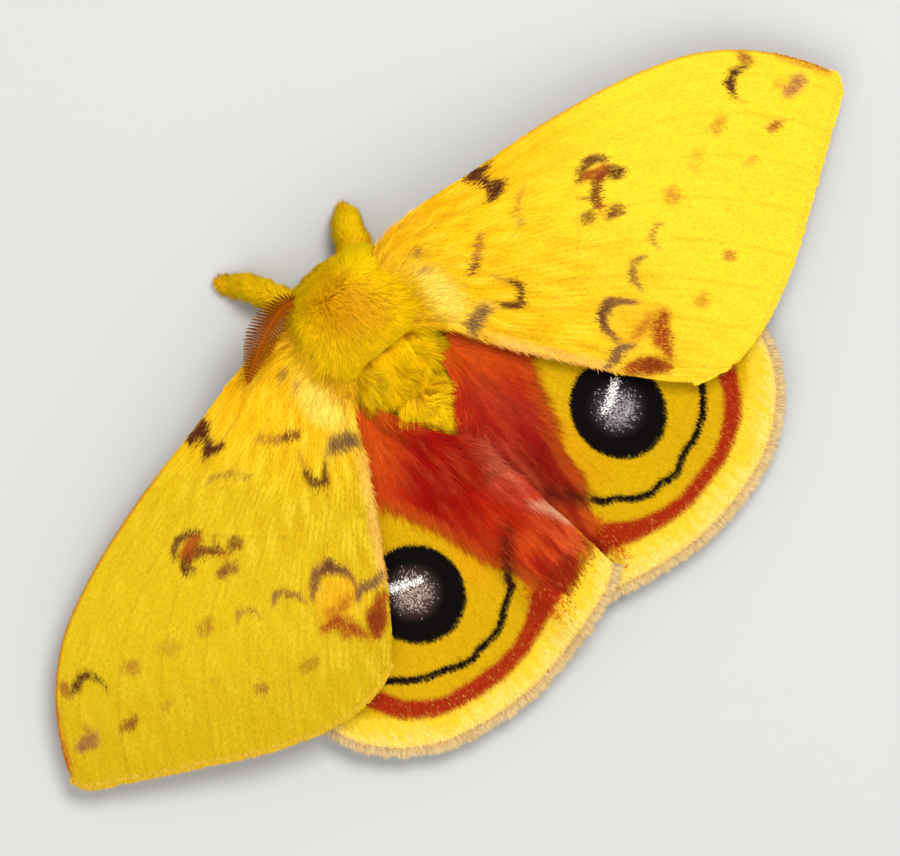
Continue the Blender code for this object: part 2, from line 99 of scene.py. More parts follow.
def studio_light(name, place, size, watts):
    light = bpy.data.objects.new(name, bpy.data.lights.new(name, "AREA"))
    light.data.shape = "DISK"
    light.data.size = size
    light.data.energy = watts
    light.location = place
    aim = -light.location
    light.rotation_euler = aim.to_track_quat("-Z", "Y").to_euler()
    light.visible_camera = False
    bpy.context.scene.collection.objects.link(light)


def floor_finish():
    made, nodes, links, shader = finish("floor_paper", (186, 186, 183), 0.8)
    grain = nodes.new("ShaderNodeTexNoise")
    grain.inputs["Scale"].default_value = 900.0
    bump = nodes.new("ShaderNodeBump")
    bump.inputs["Strength"].default_value = 0.05
    bump.inputs["Distance"].default_value = 0.0001
    links.new(grain.outputs["Fac"], bump.inputs["Height"])
    links.new(bump.outputs["Normal"], shader.inputs["Normal"])
    return made


bpy.ops.mesh.primitive_plane_add(size=3.0)
floor = bpy.context.object
floor.name = "floor"
floor.data.materials.append(floor_finish())

studio_light("key_light", (0.16, 0.06, 0.38), 0.20, 1.5)
studio_light("fill_light", (-0.22, -0.15, 0.45), 0.5, 1.5)
sky = bpy.data.worlds.new("sky")
sky.use_nodes = True
sky.node_tree.nodes["Background"].inputs["Color"].default_value = (0.97, 0.97, 0.97, 1.0)
sky.node_tree.nodes["Background"].inputs["Strength"].default_value = 0.5
bpy.context.scene.world = sky
bpy.context.scene.view_settings.view_transform = "Standard"


# The wings as nets: a wing is two skins of chitin stretched over hollow veins that fan out from its
# root. s runs from the root to the outer margin and t from the leading to the inner edge. The
# forewings fall away from the shoulders, and the hindwings lie over the abdomen, the left one on top.
def smooth_line(points, count=201):
    """Evenly spaced points on one smooth curve through the given ones (a centripetal spline)."""
    p = np.array(points, float)
    p = np.vstack([2 * p[0] - p[1], p, 2 * p[-1] - p[-2]])
    fine = []
    for a, b, c, d in zip(p, p[1:], p[2:], p[3:]):
        t1 = np.linalg.norm(b - a) ** 0.5
        t2 = t1 + np.linalg.norm(c - b) ** 0.5
        t3 = t2 + np.linalg.norm(d - c) ** 0.5
        t = np.linspace(t1, t2, 16, endpoint=False)[:, None]
        ab, bc = a + (b - a) * t / t1, b + (c - b) * (t - t1) / (t2 - t1)
        cd = c + (d - c) * (t - t2) / (t3 - t2)
        abc, bcd = ab + (bc - ab) * t / t2, bc + (cd - bc) * (t - t1) / (t3 - t1)
        fine.append(abc + (bcd - abc) * (t - t1) / (t2 - t1))
    fine = np.vstack([*fine, p[-2]])
    run = np.concatenate([[0], np.cumsum(np.linalg.norm(np.diff(fine, axis=0), axis=1))])
    even = np.linspace(0, run[-1], count)
    return np.stack([np.interp(even, run, fine[:, k]) for k in range(fine.shape[1])], axis=1)


def along(line, share):
    steps = np.linspace(0, 1, len(line))
    return np.stack([np.interp(share, steps, line[:, k]) for k in range(line.shape[1])], axis=-1)


def smoothstep(value, low, high):
    share = np.clip((value - low) / (high - low), 0.0, 1.0)
    return share * share * (3 - 2 * share)


def unit(vectors):
    return vectors / np.maximum(np.linalg.norm(vectors, axis=-1, keepdims=True), 1e-9)


FORE_ROOT = (3.4, 0.0, 7.1)
FORE_EDGES = (
    [(1.9, 1.7), (3.0, 2.6), (4.4, 3.25), (7.0, 3.4), (12.0, 2.7), (18.0, 1.85), (24.0, 0.35),
     (28.0, -1.4), (31.0, -4.0), (33.0, -6.9), (33.65, -8.4)],
    [(33.65, -8.4), (33.3, -9.35), (31.0, -10.9), (27.0, -13.4), (23.0, -15.8), (19.0, -17.4),
     (16.0, -17.7), (13.8, -17.1)],
    [(1.9, -1.2), (4.1, -3.5), (6.0, -6.8), (9.0, -11.2), (12.0, -15.3), (13.8, -17.1)],
)
HIND_ROOT = (3.0, -2.0, 5.5)
HIND_EDGES = (
    [(2.0, -1.9), (6.0, -3.1), (11.0, -5.0), (15.5, -8.6), (18.3, -13.2), (19.0, -17.2)],
    [(19.0, -17.2), (18.4, -19.6), (16.8, -22.0), (14.0, -24.0), (10.5, -25.0), (7.0, -25.25),
     (3.5, -24.75), (1.0, -24.1), (-0.8, -23.5), (-1.9, -22.7)],
    [(2.1, -3.0), (2.6, -4.9), (1.9, -6.6), (0.9, -8.2), (0.0, -9.6), (-0.6, -12.0), (-1.2, -15.5),
     (-1.6, -19.0), (-1.9, -22.7)],
)
# Each vein: where it lies from the leading to the inner edge, and how far out it starts
FORE_VEINS = [
    (0.07, 0), (0.18, 0), (0.3, 0.48), (0.42, 0.48), (0.54, 0.48), (0.65, 0), (0.77, 0.3), (0.91, 0),
]
HIND_VEINS = [
    (0.08, 0), (0.21, 0), (0.33, 0.54), (0.45, 0.54), (0.57, 0.54), (0.67, 0), (0.79, 0.35), (0.91, 0),
]
# Sections of the abdomen: y, middle height, half width, half height
ABDOMEN = [
    (-3.0, 4.0, 2.4, 2.2), (-4.6, 3.8, 2.6, 2.4), (-6.4, 3.5, 2.45, 2.3), (-8.2, 3.1, 2.1, 2.0),
    (-9.8, 2.8, 1.75, 1.65), (-11.4, 2.5, 1.3, 1.25), (-12.6, 2.3, 0.7, 0.7),
]
# What the hindwings lie over: the abdomen, and a slope that runs out behind it
DRAPE = ABDOMEN + [(-14.4, 2.0, 0.5, 0.3)]
# How far a wing falls for each millimetre from its root, and how far a forewing arches across
FORE_FALL, HIND_FALL, FORE_ARCH = 0.162, 0.168, 0.45
# How far off the abdomen the hindwings lie, and how far the left one is raised to lap over the right one
OVER_ABDOMEN, LAP = 0.75, 1.15


def sections_at(sections, y):
    rows = np.array(sections)[::-1]
    return [np.interp(y, rows[:, 0], rows[:, k]) for k in (1, 2, 3)]


def fore_height(x, y, s, t, side):
    fall = FORE_ROOT[2] - FORE_FALL * np.hypot(x - FORE_ROOT[0], y)
    return fall + FORE_ARCH * np.sin(np.pi * t) * s


def hind_height(x, y, s, t, side):
    fall = HIND_ROOT[2] - HIND_FALL * np.hypot(x - HIND_ROOT[0], y - HIND_ROOT[1])
    middle, half_width, half_height = sections_at(DRAPE, y)
    end = smoothstep(y, -18.6, -12.6)
    across = np.minimum(1.0, np.abs(x) / (half_width + OVER_ABDOMEN))
    drape = middle + end * (half_height + OVER_ABDOMEN) * np.sqrt(1 - across**2)
    blend = np.sqrt((fall - drape) ** 2 + 0.25) - 0.5 * (1 - end)
    lap = smoothstep(-x, -5.0, -2.0) * smoothstep(-y, 6.5, 10.5) if side < 0 else 0.0
    return (fall + drape + blend) / 2 + LAP * lap


class Wing:
    """One wing. side is 1 for the moth's right and -1 for its left, and own() is the untouched right one."""

    def __init__(self, name, side, edges, height, veins, cell, fringe, turn=0.0):
        self.name, self.side, self.height, self.veins, self.cell = name, side, height, veins, cell
        self.fore = name.startswith("fore")
        self.slot = "fore_wing" if self.fore else "hind_wing"
        self.lead, self.outer, self.inner = (smooth_line(edge) for edge in edges)
        self.cosine, self.sine = math.cos(math.radians(turn)), math.sin(math.radians(turn))
        self.steps = np.linspace(0, 1, 41)
        s, t = np.meshgrid(self.steps, self.steps, indexing="ij")
        net = self.own(s, t)
        self.widths = np.linalg.norm(np.diff(net, axis=1), axis=2).sum(axis=1)
        self.lengths = np.linalg.norm(np.diff(net, axis=0), axis=2).sum(axis=0)
        a, b = net[1:, 1:] - net[:-1, :-1], net[1:, :-1] - net[:-1, 1:]
        self.area = np.abs(a[..., 0] * b[..., 1] - a[..., 1] * b[..., 0]).sum() / 2
        self.corner, self.span = net.min(axis=(0, 1)), np.ptp(net, axis=(0, 1)).max()
        self.fringe = fringe
        self.vein_rise, self.vein_half = (0.11, 0.2) if self.fore else (0.05, 0.17)

    def own(self, s, t):
        """Plan of the right wing before any turn, where the marks are drawn."""
        lead, inner, outer = along(self.lead, s), along(self.inner, s), along(self.outer, t)
        s, t = s[..., None], t[..., None]
        return (1 - t) * lead + t * inner + s * (outer - (1 - t) * self.outer[0] - t * self.outer[-1])

    def width(self, s):
        return np.interp(s, self.steps, self.widths)

    def length(self, t):
        return np.interp(t, self.steps, self.lengths)

    def rise(self, s, t):
        """How far the veins stand out of the membrane."""
        width, length = self.width(s), self.length(t)
        crest = np.zeros_like(s)
        for place, start in self.veins:
            ridge = np.exp(-(((t - place) * width / self.vein_half) ** 2))
            crest = np.maximum(crest, ridge * (smoothstep(s, start - 0.03, start + 0.03) if start else 1.0))
        station, first, last = self.cell
        cross = 0.35 * np.exp(-(((s - station) * length / self.vein_half) ** 2))
        cross = cross * smoothstep(t, first, first + 0.05) * (1 - smoothstep(t, last - 0.05, last))
        return self.vein_rise * np.maximum(crest, cross) * (1 - 0.5 * s)

    def at(self, s, t):
        """Points in space, in millimetres."""
        plan = self.own(s, t) - FORE_ROOT[:2]
        x = FORE_ROOT[0] + self.cosine * plan[..., 0] - self.sine * plan[..., 1]
        y = FORE_ROOT[1] + self.sine * plan[..., 0] + self.cosine * plan[..., 1]
        z = self.height(x, y, s, t, self.side) + self.rise(s, t)
        return np.stack([self.side * x, y, z], axis=-1)

    def directions(self, s, t):
        """Ahead towards the margin, across towards the inner edge, and up out of the top."""
        step = 0.004
        ahead = unit(self.at(np.minimum(s + step, 1.0), t) - self.at(np.maximum(s - step, 0.0), t))
        across = unit(self.at(s, np.minimum(t + step, 1.0)) - self.at(s, np.maximum(t - step, 0.0)))
        up = unit(np.cross(ahead, across))
        up *= np.sign(up[..., 2:])
        return ahead, across, up

    def unwrap(self, s, t):
        """Place on the flat pattern of the wing, from 0.02 to 0.98."""
        return 0.02 + 0.96 * (self.own(s, t) - self.corner) / self.span

    def edge(self, t):
        """The station at which the membrane ends and the fringe begins."""
        return 1 - self.fringe / self.length(t)


# The closed cell of each kind of wing: the station of its cross vein, and where that starts and ends
FORE_CELL, HIND_CELL = (0.5, 0.18, 0.65), (0.56, 0.21, 0.67)
# How far the fringe reaches past the membrane
FORE_FRINGE, HIND_FRINGE = 0.3, 0.65
# How far the left forewing is turned back round its root, in degrees
LEFT_TURN = -1.8
WINGS = {
    "fore_left": Wing("fore_left", -1, FORE_EDGES, fore_height, FORE_VEINS, FORE_CELL, FORE_FRINGE,
                      LEFT_TURN),
    "fore_right": Wing("fore_right", 1, FORE_EDGES, fore_height, FORE_VEINS, FORE_CELL, FORE_FRINGE),
    "hind_left": Wing("hind_left", -1, HIND_EDGES, hind_height, HIND_VEINS, HIND_CELL, HIND_FRINGE),
    "hind_right": Wing("hind_right", 1, HIND_EDGES, hind_height, HIND_VEINS, HIND_CELL, HIND_FRINGE),
}


# The wings' markings: each is made of coloured scales, so it is painted here once, for the membrane
# and the scales alike. A mark is a stroke along a line or a spot, placed in the right wing's own plan.
def lay(base, colour, mask):
    """The colour over the base, as strongly as the mask says. A tuple is a colour as on a screen."""
    colour = linear(*colour) if isinstance(colour, tuple) else colour
    return base + (colour - base) * np.clip(mask, 0.0, 1.0)[:, None]


def plain(colour, count):
    return np.tile(linear(*colour), (count, 1))


def stroke(x, y, points, width, soft=0.12):
    """1 on a line through the points, 0 off it. The width is one number or one for each point."""
    points = np.array(points, float)
    widths = np.broadcast_to(np.asarray(width, float), len(points))
    reach = widths.max() / 2 + soft
    low, high = points.min(axis=0) - reach, points.max(axis=0) + reach
    near = np.flatnonzero((x > low[0]) & (x < high[0]) & (y > low[1]) & (y < high[1]))
    best = np.full(len(near), -reach)
    here = np.stack([x[near], y[near]], axis=1)
    for a, b, wide_a, wide_b in zip(points, points[1:], widths, widths[1:]):
        share = np.clip(((here - a) @ (b - a)) / max((b - a) @ (b - a), 1e-9), 0.0, 1.0)
        gap = np.linalg.norm(here - a - share[:, None] * (b - a), axis=1)
        best = np.maximum(best, (wide_a + (wide_b - wide_a) * share) / 2 - gap)
    mask = np.zeros(len(x))
    mask[near] = smoothstep(best, -soft, soft)
    return mask


def spot(x, y, centre, radii, turn=0.0, soft=0.25):
    """1 inside an oval, 0 outside. soft is the share of its radius over which it fades."""
    cosine, sine = math.cos(math.radians(turn)), math.sin(math.radians(turn))
    dx, dy = x - centre[0], y - centre[1]
    reach = np.hypot((cosine * dx + sine * dy) / radii[0], (cosine * dy - sine * dx) / radii[1])
    return 1 - smoothstep(reach, 1 - soft, 1 + soft)


def patches(x, y, size, seed):
    """Soft random patches of about that size, from 0 to 1."""
    draw = np.random.default_rng(seed)
    total = np.zeros(len(x))
    for _ in range(7):
        angle, phase = draw.uniform(0, 2 * math.pi, 2)
        pace = 2 * math.pi / (size * draw.uniform(1.2, 3.0))
        total += np.sin(pace * (x * math.cos(angle) + y * math.sin(angle)) + phase)
    return np.clip(0.5 + total / 6, 0.0, 1.0)


UMBER, MAUVE, RUST, TAN = (78, 34, 18), (130, 84, 42), (158, 66, 16), (204, 140, 32)
# Marks of a forewing with a red level over this take the painted shade of their wing
PALE_MARK = 148
# Dark marks of a forewing: colour, strength, width and line
FORE_STROKES = [
    (UMBER, 1.0, 0.55, [(11.4, 2.5), (12.7, 2.35)]), (UMBER, 1.0, 0.85, [(11.95, 2.4), (12.1, 0.95)]),
    (UMBER, 1.0, 0.6, [(11.6, 0.7), (12.7, 0.9)]),
    (MAUVE, 0.6, 0.3, [(13.5, -0.2), (12.7, -0.6), (12.2, -1.1), (12.1, -1.7), (11.6, -1.9)]),
    ((150, 86, 34), 0.85, [0.3, 0.5, 0.45], [(9.6, -0.6), (8.7, -1.3), (7.6, -2.05)]),
    (UMBER, 0.85, 0.35, [(8.2, -1.75), (7.5, -2.15)]), (MAUVE, 0.55, 0.2, [(8.1, -2.7), (8.9, -4.1)]),
    (UMBER, 0.95, [0.3, 0.55, 0.6, 0.5, 0.35, 0.2],
     [(8.9, -4.1), (9.1, -4.8), (8.7, -5.45), (8.2, -5.4), (7.7, -4.9), (7.4, -4.4)]),
    ((96, 52, 22), 0.95, [0.35, 0.6, 0.6, 0.55, 0.4],
     [(16.5, -2.35), (17.2, -1.85), (17.8, -1.75), (18.4, -1.95), (18.8, -2.4)]),
    (RUST, 0.95, 0.8, [(17.1, -2.5), (18.3, -2.8)]),
    ((104, 52, 18), 0.95, [0.45, 0.7, 0.6, 0.4], [(18.0, -2.85), (17.2, -3.2), (16.7, -3.7), (16.2, -4.3)]),
    (RUST, 0.8, 0.25, [(16.6, -4.1), (16.1, -4.7)]), (MAUVE, 0.8, 0.22, [(16.3, -3.5), (15.8, -3.15)]),
    (UMBER, 1.0, [0.15, 0.4, 0.6, 0.6, 0.45, 0.25],
     [(27.75, -5.5), (27.65, -4.6), (27.95, -4.05), (28.5, -3.75), (29.0, -3.9), (29.5, -4.1)]),
    (MAUVE, 0.75, [0.15, 0.3, 0.35, 0.25, 0.1],
     [(18.9, -8.0), (18.3, -7.7), (17.7, -7.9), (17.4, -8.3), (17.4, -8.9)]),
    (MAUVE, 0.9, [0.2, 0.4, 0.5, 0.4, 0.2],
     [(16.4, -8.8), (15.8, -8.5), (15.2, -8.75), (14.85, -9.4), (14.8, -10.2)]),
    (MAUVE, 1.0, [0.3, 0.5, 0.75, 0.85, 0.6, 0.3],
     [(14.1, -10.4), (13.4, -9.65), (12.7, -9.3), (12.1, -9.55), (11.55, -10.2), (11.45, -11.4)]),
    (UMBER, 0.6, [0.2, 0.4, 0.2], [(13.0, -9.2), (12.0, -9.5), (11.4, -10.3)]),
    ((120, 78, 50), 0.95, [0.4, 0.65, 0.6, 0.25],
     [(9.9, -12.05), (10.7, -12.1), (11.5, -11.95), (12.2, -12.4)]),
]
# Spots of a forewing: colour, strength, centre, radii and turn
FORE_SPOTS = [
    ((150, 108, 60), 0.85, (5.8, -4.35), (1.3, 0.6), 8.0),
    ((100, 70, 50), 0.8, (5.45, -4.5), (0.6, 0.4), 0.0),
    ((104, 70, 46), 0.8, (6.3, -4.3), (0.5, 0.36), 10.0),
    ((128, 78, 48), 0.85, (5.0, 1.42), (0.55, 0.22), -20.0),
    ((160, 106, 70), 0.7, (4.85, 0.2), (0.35, 0.3), 0.0),
    ((92, 46, 18), 1.0, (18.65, -3.4), (0.5, 0.6), 20.0),
    ((110, 62, 24), 0.9, (15.3, -4.4), (0.5, 0.45), 0.0),
    ((124, 70, 30), 1.0, (16.9, -5.25), (0.7, 0.45), 10.0), (RUST, 0.6, (17.7, -3.0), (0.5, 0.25), 0.0),
    ((146, 74, 30), 0.85, (29.75, -3.55), (0.45, 0.55), 0.0), (TAN, 0.9, (25.7, -5.5), (0.75, 0.45), 30.0),
    (TAN, 0.5, (23.0, -6.3), (0.8, 0.55), 30.0), (TAN, 0.9, (20.4, -6.95), (0.65, 0.55), 20.0),
    ((170, 104, 62), 0.95, (31.0, -6.95), (0.95, 0.5), 8.0), (TAN, 0.7, (30.4, -6.2), (0.4, 0.3), 0.0),
    ((158, 84, 30), 0.95, (28.3, -8.05), (0.65, 0.36), 8.0),
    (TAN, 0.75, (25.6, -8.75), (0.5, 0.25), 10.0), (TAN, 0.5, (22.5, -9.9), (0.25, 0.2), 0.0),
    ((186, 116, 34), 0.95, (20.6, -12.2), (0.5, 0.4), 30.0),
    ((178, 96, 26), 0.6, (17.3, -13.2), (0.6, 0.5), 10.0),
]
# The rusty patch beside the arch: strength, line, widths and softness
RUST_STROKES = [
    (1.0, [(14.9, -12.2), (14.2, -12.5), (13.8, -13.3), (13.4, -14.3)], [0.8, 1.1, 1.3, 0.6], 0.35),
    (1.0, [(10.9, -13.2), (11.9, -13.9), (12.8, -14.9)], [0.9, 1.4, 0.7], 0.25),
    (0.7, [(12.3, -12.0), (13.2, -12.0), (14.0, -11.8)], [0.3, 0.7, 0.7], 0.3),
]


def fore_tint(wing, s, t, draw):
    """Colours of a forewing's top. Its marks are ragged along the scales, because each has one colour."""
    width, length = wing.width(s), wing.length(t)
    pull = draw.normal(0, 0.14, len(s)) / length
    plan = wing.own(np.clip(s + pull * (1.3 - 0.8 * s), 0, 1), t)
    wobble = 0.2 if wing.side > 0 else 0.26
    x, y = plan[:, 0] + draw.normal(0, 0.035, len(s)), plan[:, 1] + draw.normal(0, 0.035, len(s))
    x = x + wobble * (patches(plan[:, 0], plan[:, 1], 0.9, 11 + wing.side) - 0.5)
    y = y + wobble * (patches(plan[:, 0], plan[:, 1], 0.9, 17 + wing.side) - 0.5)
    cloud, fleck = patches(x, y, 3.5, 3), draw.random(len(s))
    to_inner = (1 - t) * width
    tint = plain((240, 184, 8), len(s))
    tint = lay(tint, (244, 204, 40), smoothstep(x - 0.4 * y, 9, 22) * 0.95)
    tint = lay(tint, (236, 172, 2), (1 - smoothstep(t, 0.05, 0.3)) * (1 - smoothstep(x, 10, 24)) * 0.8)
    towards_inner = smoothstep(t, 0.3, 0.7) * (1 - smoothstep(x, 12, 20))
    tint = lay(tint, (224, 164, 16), cloud * towards_inner * 0.45)
    # Painted shade: the left forewing is painted darker, most towards its tip, where it falls away from the
    # light
    if wing.side < 0:
        tint = lay(tint, (206, 172, 16), smoothstep(s, 0.15, 0.45) * 0.95)
        tint = lay(tint, (190, 156, 8), smoothstep(s, 0.65, 1.0) * 0.75)
    # Darker and lighter strands near the root: painted shade between hair strands and painted light on them,
    # with the scales' own uneven tone
    strand = patches(t * 14, s * length * 0.1, 0.16, 71)
    near = 1 - smoothstep(x, 8, 20)
    tint = lay(tint, (196, 132, 6), smoothstep(strand, 0.6, 0.95) * (0.08 + 0.3 * near))
    tint = lay(tint, (252, 214, 60), smoothstep(1 - strand, 0.6, 0.95) * (0.1 + 0.3 * near))
    veins = [np.exp(-(((t - at) * width / 0.13) ** 2)) * (s > start) for at, start in wing.veins]
    vein = np.max(veins, axis=0)
    tint = lay(tint, (208, 146, 10), vein * (fleck > 0.3) * (0.3 - 0.2 * smoothstep(x, 12, 20)))
    cream = spot(x, y, (4.8, -1.6), (1.1, 2.0), 12.0, 0.6) * (0.5 + 0.5 * (fleck > 0.4))
    tint = lay(tint, (252, 222, 92), cream * 0.9)
    # Painted shade under the thorax's flank hair at the wing root, stronger on the left, partly its brown
    # hairs
    shade = (1 - smoothstep(x, 3.3, 4.0)) * (0.5 if wing.side < 0 else 0.25)
    tint = lay(tint, (160, 92, 14), shade * (0.4 + 0.6 * (fleck > 0.5)))
    tint = lay(tint, (176, 112, 12), (fleck < 0.04 + 0.05 * (1 - smoothstep(x, 4, 9))) * near * 0.6)
    pale = (1 - smoothstep(to_inner, 0.35, 1.1)) * smoothstep(s, 0.22, 0.36)
    pale *= 1 - smoothstep(s, 0.66, 0.74)
    tint = lay(tint, (238, 184, 88), pale * (0.25 + 0.6 * (fleck > 0.35)))
    tint = lay(tint, (206, 120, 60), (1 - smoothstep(to_inner, 0.05, 0.2)) * pale * 0.6)
    tint = lay(tint, (228, 150, 18), spot(x, y, (13.0, -11.4), (1.6, 1.4), 0.0, 0.5) * 0.45)
    rust = np.zeros(len(s))
    for strength, line, widths, soft in RUST_STROKES:
        rust = np.maximum(rust, strength * stroke(x, y, line, widths, soft))
    tint = lay(tint, (154, 64, 14), rust * (0.5 + 0.5 * (fleck > 0.2)))
    tint = lay(tint, (120, 44, 8), spot(x, y, (12.2, -14.1), (0.9, 0.5), -45.0, 0.6) * 0.8)
    lead_line = (1 - smoothstep(t * width, 0.05, 0.22)) * smoothstep(x, 12, 18)
    tint = lay(tint, (186, 108, 26), lead_line * (0.8 if wing.side < 0 else 0.5))
    apex = stroke(x, y, [(30.9, -4.0), (31.9, -4.9), (32.7, -6.2), (33.2, -7.6)], [0.2, 0.7, 0.9, 0.4], 0.35)
    tint = lay(tint, (170, 78, 28), apex * (0.3 + 0.6 * (fleck > 0.35)))
    # Painted shade of the pale marks: strong on the left forewing, slight on the right
    marks_painted_shade = 0.68 if wing.side < 0 else 0.95
    for colour, strength, width, line in FORE_STROKES:
        tint = lay(tint, colour, stroke(x, y, line, width, 0.15) * strength * (0.75 + 0.25 * (fleck > 0.15)))
    for colour, strength, centre, radii, turn in FORE_SPOTS:
        dark = 0.35 if colour == TAN else 0.7
        mask = spot(x, y, centre, radii, turn, 0.35) * strength
        shown = linear(*colour) * (marks_painted_shade if colour[0] > PALE_MARK else 1.0)
        tint = lay(tint, shown, mask * (dark + (1 - dark) * (fleck > 0.35)))
    return tint


# Lines of each hindwing, drawn as if it were the right one
HIND_MARKS = {
    1: {
        "eye": (8.7, -14.75), "radii": (2.98, 3.37), "pupil": (8.7, -14.7),
        "flash": [(7.9, -14.3), (8.9, -13.95), (9.7, -13.4)],
        "line": [(14.3, -15.6), (14.1, -16.6), (13.4, -17.7), (12.6, -18.6), (11.8, -19.1), (11.0, -19.5),
                 (10.2, -19.6), (9.5, -19.9), (8.9, -20.3), (8.2, -20.3), (7.6, -20.1), (6.7, -20.2),
                 (6.0, -19.9), (5.4, -19.5), (4.8, -18.9), (4.0, -18.5), (3.7, -18.0)],
        "smear": [(3.7, -18.0), (3.2, -17.0), (2.7, -16.2), (1.8, -14.8)],
        "band": [(15.9, -15.6), (15.5, -17.7), (14.85, -18.9), (13.9, -20.0), (12.7, -20.85), (11.5, -21.4),
                 (9.8, -21.75), (8.0, -22.05), (6.5, -21.9), (5.2, -21.55), (4.1, -21.15), (3.2, -20.6),
                 (2.4, -20.2)],
        "band_widths": [1.2, 1.2, 1.0, 1.1, 0.9, 0.9, 0.9, 0.9, 1.0, 1.1, 1.3, 1.6, 1.8],
        "red": [(5.2, -3.0), (6.3, -5.0), (6.9, -6.8), (6.1, -8.3), (5.6, -9.5), (5.1, -11.0), (4.6, -12.5),
                (4.3, -14.0), (4.2, -15.5), (3.8, -16.6), (3.2, -17.6), (2.9, -19.0), (3.3, -20.3),
                (3.4, -21.6)],
    },
    -1: {
        "eye": (8.8, -14.9), "radii": (3.1, 3.3), "pupil": (8.9, -14.7),
        "flash": [(8.0, -14.4), (9.2, -13.9), (10.1, -13.4)],
        "line": [(14.5, -16.6), (14.0, -17.7), (13.0, -18.6), (12.0, -19.3), (11.0, -19.6), (10.0, -20.1),
                 (9.0, -20.4), (8.0, -20.2), (6.7, -20.2), (6.0, -19.9), (5.2, -19.3), (4.5, -18.9),
                 (3.9, -18.6), (3.7, -17.9)],
        "smear": [(3.9, -18.3), (3.4, -17.3), (2.9, -16.3), (1.7, -14.8)],
        "band": [(15.9, -16.6), (15.4, -18.0), (14.5, -19.8), (13.0, -21.05), (12.0, -21.5), (10.0, -21.95),
                 (8.0, -22.15), (6.2, -22.0), (4.5, -21.4), (3.0, -20.6), (1.6, -20.0), (0.4, -19.6)],
        "band_widths": [1.2, 1.2, 1.2, 1.1, 1.0, 1.1, 1.1, 1.0, 1.2, 1.6, 1.7, 1.4],
        "red": [(5.2, -3.3), (6.3, -5.5), (6.7, -7.2), (6.2, -8.6), (5.6, -10.0), (5.1, -11.5), (4.6, -13.0),
                (4.3, -14.5), (4.0, -16.0), (3.6, -17.0), (3.2, -18.2), (3.1, -19.2), (3.5, -20.3),
                (3.6, -21.6)],
    },
}


def red_share(side, x, y):
    """How far inside a hindwing's red hairy area a place lies, from 0 to 1."""
    line = np.array(HIND_MARKS[side]["red"])[::-1]
    limit = np.interp(y, line[:, 1], line[:, 0])
    return smoothstep(limit - x, -0.25, 0.25) * smoothstep(y + 20.26 + 0.42 * x, -0.2, 0.2)


